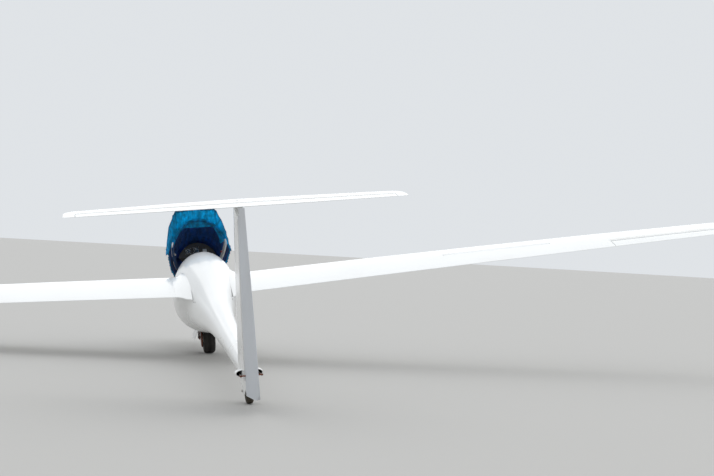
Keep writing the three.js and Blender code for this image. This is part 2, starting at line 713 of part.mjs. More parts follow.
// Teardrop fairings where the rudder cables leave the tail, open at the rear
const DROP = { x: 56, y: -4290, z: 246, halfWidth: 50, halfLength: 130, halfHeight: 29, wall: 4 };
const [MOUTH_Y, HOLLOW_END] = [DROP.y - 52, DROP.y + 50];
for (const [word, side] of [["left", -1], ["right", 1]]) {
  const drop = (grow) => new THREE.SphereGeometry(1, 20, 14)
    .scale(DROP.halfWidth + grow, DROP.halfLength + grow, DROP.halfHeight + grow)
    .translate(side * DROP.x, DROP.y, DROP.z);
  const behindMouth = box(-200, 200, -4700, MOUTH_Y, 100, 400);
  const hollow = cut(drop(-DROP.wall), box(-200, 200, HOLLOW_END, -4000, 100, 400));
  const finSide = finForm.clone().translate(side * GAP, 0, 0);
  const shell = cut(drop(0), behindMouth, hollow, clearSkin, tailHousing(GAP), finSide);
  addPiece(`rudder_cable_fairing_${word}`, shell, GELCOAT);
}

// Main wheel

const hub = { y: 0, z: TYRE_R };
const main = movingBody("main_wheel", vector(0, hub.y, hub.z), vector(1, 0, 0));
const addTurned = (name, profile, sides, material, body) =>
  addPiece(name, turned(profile, sides).translate(0, body.position.y, body.position.z), material, body);
// A profile that is the same on both sides of the wheel, from its left half
const bothSides = (half) => [...half, ...half.map(([r, x]) => [r, -x]).reverse()];
addTurned("main_tyre", bothSides([
  [RIM_R + GAP, -44], [RIM_R + 14, -44.5], [RIM_R + 26, -57], [140, -TYRE_W / 2], [162, -55], [175, -36],
  [TYRE_R, -12],
]), 32, RUBBER, main);
addTurned("main_wheel_hub", bothSides([
  [AXLE_R + GAP, -62], [28, -62], [32, -30], [RIM_R - 16, -18], [RIM_R - 8, -50], [RIM_R + 12, -51],
  [RIM_R + 12, -45], [RIM_R, -45],
]), 32, ALUMINIUM, main);
addTurned("brake_disc", [
  [AXLE_R + GAP, -83], [40, -83], [BRAKE_R, -80], [BRAKE_R, -70], [40, -66], [28, -62.4],
  [AXLE_R + GAP, -62.4],
], 28, RUSTY, main);

// The axle is carried by two legs, joined by a cross tube in the bay
addPiece("main_axle", crossBar(AXLE_R, -LEG_X - 14, LEG_X + 14, hub.y, hub.z), ALUMINIUM);
const LEG_TOP = 505;
const legProfile = [
  [-26, hub.z - 24], [-32, hub.z], [-22, hub.z + 26], [-10, 330], [-34, LEG_TOP], [-12, 535], [26, 520],
  [24, 330], [26, hub.z + 22], [32, hub.z - 4], [22, hub.z - 26],
];
const legs = [-1, 1].map((side) =>
  sideProfile(legProfile, side * LEG_X - LEG_W / 2, side * LEG_X + LEG_W / 2));
const crossTube = crossBar(15, GAP - BAY.halfWidth, BAY.halfWidth - GAP, 0, LEG_TOP);
const axleBore = crossBar(AXLE_R + GAP, -200, 200, hub.y, hub.z);
addPiece("gear_leg", cut(join(...legs, crossTube), axleBore), RUSTY);

// Gear doors hang open from hinges at the edges of the bay
const DOOR = { width: 118, hang: 24 * DEG, hingeZ: 280 }; // hang is measured out from straight down
const doorSection = [[0, 0], [0.25, 5], [0.6, 7], [1, 6], [1, 2], [0.6, 2], [0.25, 0], [0, -5]];
for (const [word, side] of [["left", -1], ["right", 1]]) {
  const [c, s] = [Math.cos(DOOR.hang), Math.sin(DOOR.hang)];
  const ring = (y) => doorSection.map(([share, bulge]) => {
    const down = share * DOOR.width;
    return vector(side * (BAY.halfWidth + 4 + down * s + bulge * c), y, DOOR.hingeZ - down * c + bulge * s);
  });
  const leaf = loft(steps(BAY.rear + 8, BAY.front - 8, 5).map(ring));
  addPiece(`gear_door_${word}`, cut(leaf, clearSkin), GELCOAT);
}

// Tail wheel

const tailWheel = movingBody("tail_wheel", vector(0, -WHEELBASE, TAIL_TYRE_R), vector(1, 0, 0));
const [TAIL_RIM_R, TAIL_AXLE_R] = [52, 6];
addTurned("tail_tyre", bothSides([
  [TAIL_RIM_R + GAP, -20], [62, -25], [80, -TAIL_TYRE_W / 2], [93, -22], [TAIL_TYRE_R, -8],
]), 24, RUBBER, tailWheel);
addTurned("tail_wheel_hub", bothSides([
  [TAIL_AXLE_R + GAP, -24], [20, -24], [22, -10], [40, -8], [44, -20], [TAIL_RIM_R, -20],
]), 24, ALUMINIUM, tailWheel);
const tailAxleEnd = TAIL_SLOT_HALF - GAP;
const tailAxle = crossBar(TAIL_AXLE_R, -tailAxleEnd, tailAxleEnd, -WHEELBASE, TAIL_TYRE_R, 16);
addPiece("tail_axle", tailAxle, ALUMINIUM);

// Canopy: frame, glass and cloth cover, drawn closed. Turning it forward about its axis opens it

const canopy = movingBody("canopy", vector(0, CANOPY_AXIS.y, CANOPY_AXIS.z), vector(-1, 0, 0), CANOPY_OPEN);
const addToCanopy = (name, geometry, material) => addPiece(name, geometry, material, canopy);

const canopyForm = (grow) => fuselageForm(200, 1640, grow, 11);
const window = canopyVolume(CANOPY_GAP + CANOPY_BAND);
const insideWindow = canopyVolume(CANOPY_GAP + CANOPY_BAND + GAP);
const GLASS = { outside: -0.6, inside: -5 }; // off the fuselage's skin
const frameForm = common(canopyForm(0), canopyVolume(CANOPY_GAP));
addToCanopy("canopy_frame", cut(frameForm, canopyForm(-FRAME_DEPTH), window), GELCOAT);
const glassForm = common(canopyForm(GLASS.outside), insideWindow);
addToCanopy("canopy_glass", cut(glassForm, canopyForm(GLASS.inside)), CLEAR);

// The cover lies on the canopy, with a bulky hem round its edge.
// Loose skirts grow out of the hem and stand off
// the closed fuselage: behind the canopy, with a straight upper edge between two corners, and outside the
// sill, where they taper towards the nose
const COVER = { clear: 2 * GAP, thick: 4, topRise: 20, cornerX: 205, bulge: 48, standOff: 9 };
const HEM = { wide: 34, thick: 15 };
const coverLayer = (thick) =>
  cut(common(canopyForm(thick), canopyVolume(CANOPY_GAP)), canopyForm(COVER.clear));
const hemLayer = cut(coverLayer(HEM.thick), canopyVolume(CANOPY_GAP + HEM.wide));

// Half width of the fuselage at a place along it and a height over its widest line
function sideX(y, z, grow) {
  const distance = NOSE_Y - y;
  const [top, bottom] = [topAt(distance) + grow, bottomAt(distance) - grow];
  const middle = bottom + WIDEST * (top - bottom);
  const share = Math.min(1, Math.max(0, (z - middle) / (top - middle)));
  return (halfWidthAt(distance) + grow) * (1 - share ** SECTION_POWER.above) ** (1 / SECTION_POWER.above);
}

// A strip of cloth from its edge points, given thickness away from the middle of the cockpit
const clothRing = (edge) => {
  const middleZ = 640;
  const out = vector(edge[0].x, 0, edge[0].z - middleZ).normalize().multiplyScalar(COVER.thick);
  return [...edge, ...edge.map((p) => p.clone().add(out)).reverse()];
};

function rearSkirt() {
  const [seamY, stepY, hemY, footZ, around] = [356, 330, 215, 850, 48];
  const rows = [[seamY, COVER.standOff - 2], [stepY, COVER.standOff], [hemY, COVER.standOff + 5]]
    .map(([y, grow]) => fuselageRing(NOSE_Y - y, grow, around));
  const columns = rows[0].map((_, i) => rows.map((row) => row[i].clone())).filter(([p]) => p.z > footZ);
  const crest = Math.max(...columns.map(([, , hem]) => hem.z)) + COVER.topRise;
  return loft(columns.map(([seam, step, hem]) => {
    const beyond = Math.max(0, Math.abs(hem.x) - COVER.cornerX);
    hem.z = Math.max(hem.z, crest - 3 * beyond);
    hem.x += Math.sign(hem.x) * COVER.bulge * Math.min(1, beyond / 90);
    return clothRing([seam, step, hem]);
  }));
}

function sillSkirt(side) {
  const [rearY, frontY, drop] = [215, 1380, 60];
  const sillZ = (y) => 722 + 74 * Math.min(1, Math.max(0, (1000 - y) / 700)) ** 1.4;
  return loft(steps(rearY, frontY, 10).map((y) => {
    const share = (frontY - y) / (frontY - rearY);
    const sill = sillZ(y);
    const lay = (z, grow) => vector(side * sideX(y, z, grow), y, z);
    const top = lay(sill + 26, COVER.standOff - 2);
    const hem = lay(sill - drop, COVER.standOff + 4);
    hem.x += side * COVER.bulge * share;
    return clothRing([top, lay(sill + 2, COVER.standOff), hem]);
  }));
}
addToCanopy(
  "canopy_cover", join(coverLayer(COVER.thick), hemLayer, rearSkirt(), sillSkirt(-1), sillSkirt(1)), CLOTH);

// Instrument panel under a shroud, carried by the canopy's hinge arms
const PANEL_Y = 845;
const PANEL_THICK = 5;
const SHROUD = { outside: -40, inside: -44, front: 1400, foot: 805 };
const shroudSlice = box(-250, 250, PANEL_Y, SHROUD.front, SHROUD.foot, 1100);
const shroud = cut(canopyForm(SHROUD.outside), canopyForm(SHROUD.inside));
addToCanopy("panel_shroud", common(shroud, shroudSlice), BLACK);
const panelSlice = box(-250, 250, PANEL_Y, PANEL_Y + PANEL_THICK, 790, 1100);
const panelTop = common(canopyForm(SHROUD.inside - 1), panelSlice);
const panelFoot = box(-120, 120, PANEL_Y, PANEL_Y + PANEL_THICK, 600, 800);
addToCanopy("instrument_panel", join(panelTop, panelFoot), BLACK);
// Each arm bends down behind the axis, so that it swings clear of the nose's edge, and runs back to the panel
const ARM = { x: 52, halfThick: 5, rear: PANEL_Y + PANEL_THICK + GAP - CANOPY_AXIS.y };
const fromAxis = (profile) => profile.map(([y, z]) => [CANOPY_AXIS.y + y, CANOPY_AXIS.z + z]);
const armProfile = fromAxis([
  [12, 6], [12, -9], [-50, -46], [-110, -58], [ARM.rear, -58], [ARM.rear, -34], [-144, -34], [-146, 70],
  [-136, 110], [-100, 110], [-100, 68], [-120, 32], [-120, -6], [-114, -32], [-50, -22], [-4, 9],
]);
const pairOfPlates = (profile, x) =>
  [-x, x].map((middle) => sideProfile(profile, middle - ARM.halfThick, middle + ARM.halfThick));
const axisBar = crossBar(7, -ARM.x, ARM.x, CANOPY_AXIS.y, CANOPY_AXIS.z, 16);
const underFrame = canopyForm(-FRAME_DEPTH - 2 * GAP);
const arms = join(...pairOfPlates(armProfile, ARM.x), axisBar);
addToCanopy("canopy_hinge_arm", common(arms, underFrame), ALUMINIUM);
addToCanopy("glide_computer", join(
  box(58, 142, PANEL_Y - 34, PANEL_Y - 16, 800, 886),
  box(92, 108, PANEL_Y - 20, PANEL_Y - GAP, 836, 852),
), BLACK);

// Hinge lugs on the nose's floor carry the canopy's axis
const lugProfile = fromAxis(
  [[40, -300], [40, -130], [14, -8], [6, 9], [-10, 9], [-24, -6], [-46, -130], [-46, -300]]);
const lugX = ARM.x + 2 * ARM.halfThick + GAP;
const tieHeights = [CANOPY_AXIS.z - 230, CANOPY_AXIS.z - 222];
const tie = box(-lugX, lugX, CANOPY_AXIS.y - 44, CANOPY_AXIS.y + 38, ...tieHeights);
addPiece("canopy_hinge_lug", common(join(...pairOfPlates(lugProfile, lugX), tie), insideShell()), ALUMINIUM);

// Cockpit

const seatLine = [
  [352, 850], [420, 720], [520, 590], [640, 470], [760, 390], [880, 358], [1000, 372], [1080, 410]];
const seatUnderside = seatLine.map(([y, z]) => [y + 4, z - 8]).reverse();
const seatRing = ([x, lift]) => [...seatLine, ...seatUnderside].map(([y, z]) => vector(x, y, z + lift));
// out from the middle, lift of the pan's sides
const seatSides = [[-250, 74], [-200, 26], [-120, 4], [0, 0], [120, 4], [200, 26], [250, 74]];
const seatShell = common(loft(seatSides.map(seatRing)), insideShell());
const shoulderCut = box(165, 400, 300, 392, 740, 1000);
addPiece("seat_pan", cut(seatShell, shoulderCut, shoulderCut.clone().translate(-565, 0, 0)), UPHOLSTERY);
addPiece("headrest", box(-70, 70, 345, 395, 852.8, 960), UPHOLSTERY);
const stickLine = [[0, 985, 371.8], [0, 980, 440], [0, 965, 520], [0, 940, 600]];
addPiece("control_stick", tube(stickLine, 12, 6, 8), BLACK);

addPiece("rudder_pedals", common(join(
  ...[-1, 1].map((side) => box(side * 72 - 42, side * 72 + 42, 1480, 1490, 460, 590)),
  crossBar(9, -114, 114, 1494, 510, 12),
  box(-14, 14, 1484, 1504, 330, 505),
), insideShell()), ALUMINIUM);

// Tow hooks under the nose and ahead of the wheel bay
addPiece("nose_tow_hook", cut(box(-14, 14, 1520, 1580, 352, 420), clearSkin), ALUMINIUM);
addPiece("belly_tow_hook", cut(box(-16, 16, 300, 370, 238, 300), clearSkin), ALUMINIUM);

// The parked attitude: the plane through the lowest points of the wheels and the left skid becomes the floor
function lowestPoint(mesh) {
  const at = mesh.geometry.attributes.position;
  let lowest = vector(0, 0, Infinity);
  for (let i = 0; i < at.count; i++) {
    const p = vector().fromBufferAttribute(at, i).applyMatrix4(mesh.matrixWorld);
    if (p.z < lowest.z) lowest = p;
  }
  return lowest;
}

function park(body, contacts) {
  const passes = 12;
  for (let i = 0; i < passes; i++) {
    body.updateMatrixWorld(true);
    const [a, b, c] = contacts.map((name) => lowestPoint(body.getObjectByName(name)));
    const normal = b.sub(a).cross(c.sub(a)).normalize();
    if (normal.z < 0) normal.negate();
    body.quaternion.premultiply(new THREE.Quaternion().setFromUnitVectors(normal, vector(0, 0, 1)));
  }
  body.updateMatrixWorld(true);
  const bounds = new THREE.Box3().setFromObject(body, true);
  const centre = bounds.getCenter(vector());
  body.position.sub(vector(centre.x, centre.y, bounds.min.z));
}
park(glider, ["main_tyre", "tail_tyre", "tip_skid_left"]);

const model = new THREE.Group();
model.add(glider);
model.updateMatrixWorld(true);

export default model;
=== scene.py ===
import json
import math

import bmesh
import bpy
from mathutils import Matrix, Vector, noise
from mathutils.bvhtree import BVHTree

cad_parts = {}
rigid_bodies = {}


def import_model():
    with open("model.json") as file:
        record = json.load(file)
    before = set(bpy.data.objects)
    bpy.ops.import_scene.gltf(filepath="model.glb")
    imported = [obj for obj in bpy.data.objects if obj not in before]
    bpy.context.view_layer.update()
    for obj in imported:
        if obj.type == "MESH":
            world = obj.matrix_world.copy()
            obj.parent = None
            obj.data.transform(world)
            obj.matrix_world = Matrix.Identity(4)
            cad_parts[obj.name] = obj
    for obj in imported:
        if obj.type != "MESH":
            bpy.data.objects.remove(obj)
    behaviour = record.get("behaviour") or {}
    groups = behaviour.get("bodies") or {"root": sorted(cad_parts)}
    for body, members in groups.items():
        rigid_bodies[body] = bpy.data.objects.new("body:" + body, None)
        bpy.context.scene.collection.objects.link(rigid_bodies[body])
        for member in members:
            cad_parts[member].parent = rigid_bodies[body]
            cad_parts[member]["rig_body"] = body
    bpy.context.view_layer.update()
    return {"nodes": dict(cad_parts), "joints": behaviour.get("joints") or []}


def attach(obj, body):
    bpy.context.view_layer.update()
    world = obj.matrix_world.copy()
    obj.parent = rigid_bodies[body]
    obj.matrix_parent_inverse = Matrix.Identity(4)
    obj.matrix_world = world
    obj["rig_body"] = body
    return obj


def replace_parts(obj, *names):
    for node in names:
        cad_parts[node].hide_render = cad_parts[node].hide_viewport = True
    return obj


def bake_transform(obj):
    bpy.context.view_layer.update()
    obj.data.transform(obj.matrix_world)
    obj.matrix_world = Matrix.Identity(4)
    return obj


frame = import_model()

# Viewpoint: the glider is seen from behind its tail, standing to the left of the line of sight.
# It leans less in the photograph than at rest on its own tip skid, so the camera is placed
# in the glider's own frame, which is found from its two wheels.
WHEELBASE = 4.2
MAIN_HUB_Z, TAIL_HUB_Z = 0.18, 0.1
LEAN_IN_PHOTO = math.radians(3.99)
HEADING = math.radians(10.58)
LOOK_DOWN = math.radians(0.15)
MAIN_WHEEL_IN_PHOTO = (-1.577, 13.839, 0)
EYE_HEIGHT = 1.269
FOCAL_PIXELS, PICTURE_PIXELS = 1293, 714
FILM_WIDTH = 36
joints = {j["name"]: j for j in frame["joints"]}


def basis(across, along):
    across, along = across.normalized(), along.normalized()
    return Matrix((across, along, across.cross(along))).transposed()


main_hub = Vector(joints["main_wheel_spin"]["pos_m"])
tail_hub = Vector(joints["tail_wheel_spin"]["pos_m"])
drawn = basis(Vector((1, 0, 0)), Vector((0, WHEELBASE, MAIN_HUB_Z - TAIL_HUB_Z)))
parked = basis(Vector(joints["main_wheel_spin"]["axis"]), main_hub - tail_hub)
turn = (parked @ drawn.transposed()).to_4x4()
glider = Matrix.Translation(main_hub) @ turn @ Matrix.Translation((0, 0, -MAIN_HUB_Z))
in_view = (
    Matrix.Translation(MAIN_WHEEL_IN_PHOTO)
    @ Matrix.Rotation(HEADING, 4, "Z")
    @ Matrix.Rotation(-LEAN_IN_PHOTO, 4, "Y")
)
eye = Matrix.Translation((0, 0, EYE_HEIGHT)) @ Matrix.Rotation(math.pi / 2 - LOOK_DOWN, 4, "X")
camera = bpy.data.objects.new("camera", bpy.data.cameras.new("camera"))
bpy.context.scene.collection.objects.link(camera)
camera.data.sensor_width = FILM_WIDTH
camera.data.lens = FILM_WIDTH * FOCAL_PIXELS / PICTURE_PIXELS
camera.data.clip_end = 500
camera.matrix_world = glider @ in_view.inverted() @ eye
bpy.context.scene.camera = camera

# Floor and light: a plain pale floor under a bright overcast sky. The main light stands high
# ahead of the nose, so the tail and the rudder are seen from their shaded side.
FLOOR_RADIUS, FLOOR_COLOUR, FLOOR_ROUGHNESS = 160, (0.5, 0.49, 0.47, 1), 0.95
SKY_COLOUR, SKY_STRENGTH = (0.93, 0.965, 1.0, 1), 0.8
floor_mesh = bmesh.new()
bmesh.ops.create_circle(floor_mesh, cap_ends=True, segments=96, radius=FLOOR_RADIUS)
floor_data = bpy.data.meshes.new("floor")
floor_mesh.to_mesh(floor_data)
floor_mesh.free()
floor = bpy.data.objects.new("floor", floor_data)
bpy.context.scene.collection.objects.link(floor)
floor_paint = bpy.data.materials.new("pale_floor")
floor_paint.use_nodes = True
floor_shader = floor_paint.node_tree.nodes["Principled BSDF"]
floor_shader.inputs["Base Color"].default_value = FLOOR_COLOUR
floor_shader.inputs["Roughness"].default_value = FLOOR_ROUGHNESS
floor_data.materials.append(floor_paint)

sky = bpy.data.worlds.new("overcast")
sky.use_nodes = True
sky.node_tree.nodes["Background"].inputs["Color"].default_value = SKY_COLOUR
sky.node_tree.nodes["Background"].inputs["Strength"].default_value = SKY_STRENGTH
bpy.context.scene.world = sky
bpy.context.scene.view_settings.view_transform = "Standard"


def broad_light(name, place, spread, strength):
    # A wide, even light on the whole floor, shining from place towards the glider
    lamp = bpy.data.lights.new(name, "SUN")
    lamp.angle = math.radians(spread)
    lamp.energy = strength
    holder = bpy.data.objects.new(name, lamp)
    bpy.context.scene.collection.objects.link(holder)
    aim = (-Vector(place)).to_track_quat("-Z", "Y").to_matrix().to_4x4()
    holder.matrix_world = Matrix.Translation(glider @ Vector(place)) @ aim


broad_light("high_ahead", place=(5, 13, 17), spread=95, strength=1.1)
broad_light("behind_tail", place=(-6, -13, 8), spread=95, strength=0.35)

# Fuselage: a glass-fibre shell with white gelcoat, sanded and polished by hand.
# The gelcoat has a faint ripple, a little haze in its gloss, and dust and grass stains low down.
SIDES = (("left", -1), ("right", 1))


def add_node(tree, kind, operation=None, **values):
    # A shader node with plain values on its sockets, an underscore standing for a space
    node = tree.nodes.new("ShaderNode" + kind)
    if operation:
        node.operation = operation
    for name, value in values.items():
        node.inputs[name.replace("_", " ")].default_value = value
    return node


def wire(tree, *pairs):
    for start, end in pairs:
        tree.links.new(start, end)


def make_weathering():
    group = bpy.data.node_groups.new("weathering", "ShaderNodeTree")
    for name, kind, default in (
        ("Clean", "Color", (0.8, 0.8, 0.8, 1)),
        ("Dust", "Color", (0.5, 0.42, 0.32, 1)),
        ("Amount", "Float", 0.2),
        ("Gloss", "Float", 0.15),
        ("Grain", "Float", 9.0),
        ("Splash", "Float", 0.0),
    ):
        socket = group.interface.new_socket(name=name, in_out="INPUT", socket_type="NodeSocket" + kind)
        socket.default_value = default
    for name, kind in (("Color", "Color"), ("Roughness", "Float"), ("Height", "Float")):
        group.interface.new_socket(name=name, in_out="OUTPUT", socket_type="NodeSocket" + kind)
    inlet, outlet = group.nodes.new("NodeGroupInput"), group.nodes.new("NodeGroupOutput")
    place = add_node(group, "TexCoord")
    broad = add_node(group, "TexNoise", Scale=2.3, Detail=6)
    fine = add_node(group, "TexNoise", Detail=4)
    mask = add_node(group, "MapRange", From_Min=0.36, From_Max=0.78)
    mask.interpolation_type = "SMOOTHSTEP"
    strength = add_node(group, "Math", "MULTIPLY")
    # Splashes grow towards the ground and are broken up by the broad patches
    height = add_node(group, "SeparateXYZ")
    low = add_node(group, "MapRange", From_Min=0.55, From_Max=0.12)
    splash = add_node(group, "Math", "MULTIPLY")
    broken = add_node(group, "Math", "MULTIPLY")
    total = add_node(group, "Math", "ADD")
    total.use_clamp = True
    blend = add_node(group, "Mix")
    blend.data_type = "RGBA"
    # Dust dulls the gloss
    dulled = 0.35
    rough = add_node(group, "Math", "MULTIPLY_ADD")
    rough.inputs[1].default_value = dulled
    wire(
        group,
        (place.outputs["Object"], broad.inputs["Vector"]),
        (place.outputs["Object"], fine.inputs["Vector"]),
        (place.outputs["Object"], height.inputs["Vector"]),
        (inlet.outputs["Grain"], fine.inputs["Scale"]),
        (broad.outputs["Fac"], mask.inputs["Value"]),
        (mask.outputs["Result"], strength.inputs[0]),
        (inlet.outputs["Amount"], strength.inputs[1]),
        (height.outputs["Z"], low.inputs["Value"]),
        (low.outputs["Result"], splash.inputs[0]),
        (inlet.outputs["Splash"], splash.inputs[1]),
        (splash.outputs[0], broken.inputs[0]),
        (broad.outputs["Fac"], broken.inputs[1]),
        (strength.outputs[0], total.inputs[0]),
        (broken.outputs[0], total.inputs[1]),
        (total.outputs[0], blend.inputs["Factor"]),
        (inlet.outputs["Clean"], blend.inputs["A"]),
        (inlet.outputs["Dust"], blend.inputs["B"]),
        (total.outputs[0], rough.inputs[0]),
        (inlet.outputs["Gloss"], rough.inputs[2]),
        (blend.outputs["Result"], outlet.inputs["Color"]),
        (rough.outputs[0], outlet.inputs["Roughness"]),
        (fine.outputs["Fac"], outlet.inputs["Height"]),
    )
    return group


weathering = make_weathering()


def weathered(
    name, clean, dust=(0.5, 0.42, 0.32), amount=0.2, gloss=0.15, grain=9.0, bump=0.02, metal=0.0, coat=0.0,
    splash=0.0
):
    paint = bpy.data.materials.new(name)
    paint.use_nodes = True
    tree = paint.node_tree
    shader = tree.nodes["Principled BSDF"]
    wear = add_node(tree, "Group")
    wear.node_tree = weathering
    for socket, value in (
        ("Clean", (*clean, 1)), ("Dust", (*dust, 1)), ("Amount", amount), ("Gloss", gloss), ("Grain", grain),
        ("Splash", splash),
    ):
        wear.inputs[socket].default_value = value
    ripple = add_node(tree, "Bump", Strength=bump, Distance=0.01)
    shader.inputs["Metallic"].default_value = metal
    shader.inputs["Coat Weight"].default_value = coat
    wire(
        tree,
        (wear.outputs["Color"], shader.inputs["Base Color"]),
        (wear.outputs["Roughness"], shader.inputs["Roughness"]),
        (wear.outputs["Height"], ripple.inputs["Height"]),
        (ripple.outputs["Normal"], shader.inputs["Normal"]),
    )
    return paint


SHARP = math.radians(32)


def finished(name, mesh, materials, sharp):
    # Makes the mesh an object, shaded smooth but for the edges that bend more than sharp
    for face in mesh.faces:
        face.smooth = True
    for edge in mesh.edges:
        edge.smooth = edge.calc_face_angle(0) < sharp
    data = bpy.data.meshes.new(name)
    mesh.to_mesh(data)
    mesh.free()
    for paint in materials:
        data.materials.append(paint)
    piece = bpy.data.objects.new(name, data)
    bpy.context.scene.collection.objects.link(piece)
    return piece


def add_piece(name, mesh, body, paint, place=glider, sharp=SHARP):
    bmesh.ops.recalc_face_normals(mesh, faces=mesh.faces)
    mesh.transform(place)
    piece = finished(name, mesh, (paint,), sharp)
    if body:
        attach(piece, body)
    return piece


def smoothed(node, name, paint, inside=None, lining=None):
    # A copy of a CAD node with its facets shaded as one surface; faces that inside picks take the lining
    source = frame["nodes"][node]
    mesh = bmesh.new()
    mesh.from_mesh(source.data)
    bmesh.ops.remove_doubles(mesh, verts=mesh.verts, dist=0.0002)
    back = glider.inverted()
    for face in mesh.faces:
        face.material_index = 1 if inside and inside(back @ face.calc_center_median()) else 0
    piece = finished(name, mesh, (paint, lining) if lining else (paint,), SHARP)
    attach(piece, source["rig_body"])
    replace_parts(piece, node)
    even = piece.modifiers.new("even_shading", "WEIGHTED_NORMAL")
    even.keep_sharp = True
    even.weight = 60
    return piece


trees = {}


def touch(node, start, way, place=glider):
    # Where a line first meets a CAD node, and the normal there, both in the frame of place
    if node not in trees:
        mesh = bmesh.new()
        mesh.from_mesh(frame["nodes"][node].data)
        trees[node] = BVHTree.FromBMesh(mesh)
        mesh.free()
    hit, normal, _, _ = trees[node].ray_cast(place @ Vector(start), place.to_3x3() @ Vector(way))
    if hit is None:
        return None
    back = place.inverted()
    return back @ hit, (back.to_3x3() @ normal).normalized()


def laid(rows, columns, spot, thick):
    # A thin sheet whose corners are put where spot(across, along) says; both run from 0 to 1
    mesh = bmesh.new()
    bmesh.ops.create_grid(mesh, x_segments=columns, y_segments=rows, size=0.5)
    missed = []
    for vert in mesh.verts:
        point = spot(vert.co.x + 0.5, vert.co.y + 0.5)
        if point is None:
            missed.append(vert)
        else:
            vert.co = point
    bmesh.ops.delete(mesh, geom=missed, context="VERTS")
    bmesh.ops.recalc_face_normals(mesh, faces=mesh.faces)
    bmesh.ops.solidify(mesh, geom=mesh.faces, thickness=thick)
    return mesh


TAPE_LIFT, TAPE_THICK = 0.0005, 0.0004


def tape(name, node, rows, columns, start, way, paint):
    # A strip stuck to the skin of a CAD node, found by lines from start(across, along) in direction way
    def spot(u, v):
        found = touch(node, start(u, v), way)
        return None if found is None else found[0] + found[1] * TAPE_LIFT

    add_piece(name, laid(rows, columns, spot, TAPE_THICK), "airframe", paint)


def rod(points, radius, resolution=8):
    # A round bar or cable along a smooth line through the points
    line = bpy.data.curves.new("rod", "CURVE")
    line.dimensions = "3D"
    line.bevel_depth = radius
    line.bevel_resolution = 2
    line.resolution_u = resolution
    line.use_fill_caps = True
    spline = line.splines.new("BEZIER")
    spline.bezier_points.add(len(points) - 1)
    for knot, point in zip(spline.bezier_points, points):
        knot.co = point
        knot.handle_left_type = knot.handle_right_type = "AUTO"
    holder = bpy.data.objects.new("rod", line)
    mesh = bmesh.new()
    mesh.from_mesh(holder.to_mesh())
    holder.to_mesh_clear()
    bpy.data.objects.remove(holder)
    bpy.data.curves.remove(line)
    bmesh.ops.remove_doubles(mesh, verts=mesh.verts, dist=radius * 0.02)
    return mesh


def turned(profile, place, way, steps, closed=False):
    # A turned shape from (distance along, radius) pairs, with its axis along way from place
    mesh = bmesh.new()
    knots = [mesh.verts.new((along, radius, 0)) for along, radius in profile]
    pairs = list(zip(knots, knots[1:])) + ([(knots[-1], knots[0])] if closed else [])
    edges = [mesh.edges.new(pair) for pair in pairs]
    bmesh.ops.spin(
        mesh, geom=knots + edges, axis=(1, 0, 0), cent=(0, 0, 0), dvec=(0, 0, 0), angle=2 * math.pi,
        steps=steps, use_merge=True)
    bmesh.ops.remove_doubles(mesh, verts=mesh.verts, dist=0.00002)
    turn_to = Vector(way).to_track_quat("X", "Z").to_matrix().to_4x4()
    mesh.transform(Matrix.Translation(place) @ turn_to)
    return mesh


def block(size, place, bevel=0.001, facing=None):
    mesh = bmesh.new()
    bmesh.ops.create_cube(mesh, size=1, matrix=Matrix.Diagonal((*size, 1)))
    bmesh.ops.bevel(
        mesh, geom=mesh.edges[:], offset=bevel, segments=2, profile=0.5, affect="EDGES", material=-1)
    mesh.transform(Matrix.Translation(place) @ (facing or Matrix.Identity(4)))
    return mesh


def joined(parts):
    whole = bmesh.new()
    for part in parts:
        data = bpy.data.meshes.new("part")
        part.to_mesh(data)
        part.free()
        whole.from_mesh(data)
        bpy.data.meshes.remove(data)
    return whole


gelcoat = weathered(
    "white_gelcoat", (0.86, 0.87, 0.865), dust=(0.5, 0.46, 0.4), amount=0.07, gloss=0.24, grain=14,
    bump=0.012, coat=0.3, splash=0.22)
cockpit_paint = weathered(
    "cockpit_grey", (0.42, 0.43, 0.43), dust=(0.2, 0.2, 0.2), amount=0.4, gloss=0.5, grain=240, bump=0.1)
COCKPIT_REAR, COCKPIT_FRONT, COCKPIT_FLOOR = 0.3, 1.62, 0.28
SHELL_THICK = 0.008


def in_cockpit(point):
    # Faces of the hull's inside: the cavity's wall lies inside the outer skin
    if point.z <= COCKPIT_FLOOR or not COCKPIT_REAR < point.y < COCKPIT_FRONT:
        return False
    outside = touch("fuselage", (point.x * 4, point.y, point.z), (-point.x * 4, 0, 0))
    return bool(outside) and abs(outside[0].x) - abs(point.x) > SHELL_THICK


smoothed("fuselage", "fuselage_shell", gelcoat, inside=in_cockpit, lining=cockpit_paint)

# Cockpit seal: a round rubber cord, glued along each side of the cockpit's mouth where the canopy's
# frame comes down on it. The list gives the edge's height along the fuselage.
dark_rubber = weathered("dark_rubber", (0.02, 0.02, 0.02), amount=0.4, gloss=0.6, grain=150, bump=0.08)
SILL = [
    (1.5, 0.735), (1.4, 0.726), (1.3, 0.722), (1.15, 0.724), (1.0, 0.728), (0.85, 0.736), (0.7, 0.744),
    (0.55, 0.759), (0.44, 0.77)]
SEAL_RADIUS = 0.002
for word, side in SIDES:
    line = []
    for y, z in SILL:
        wall = touch("fuselage", (0, y, z - 0.03), (side, 0, 0))
        if wall:
            line.append((wall[0].x + side * 2 * SEAL_RADIUS, y, z - SEAL_RADIUS / 4))
    add_piece(f"sill_seal_{word}", rod(line, SEAL_RADIUS), "airframe", dark_rubber)

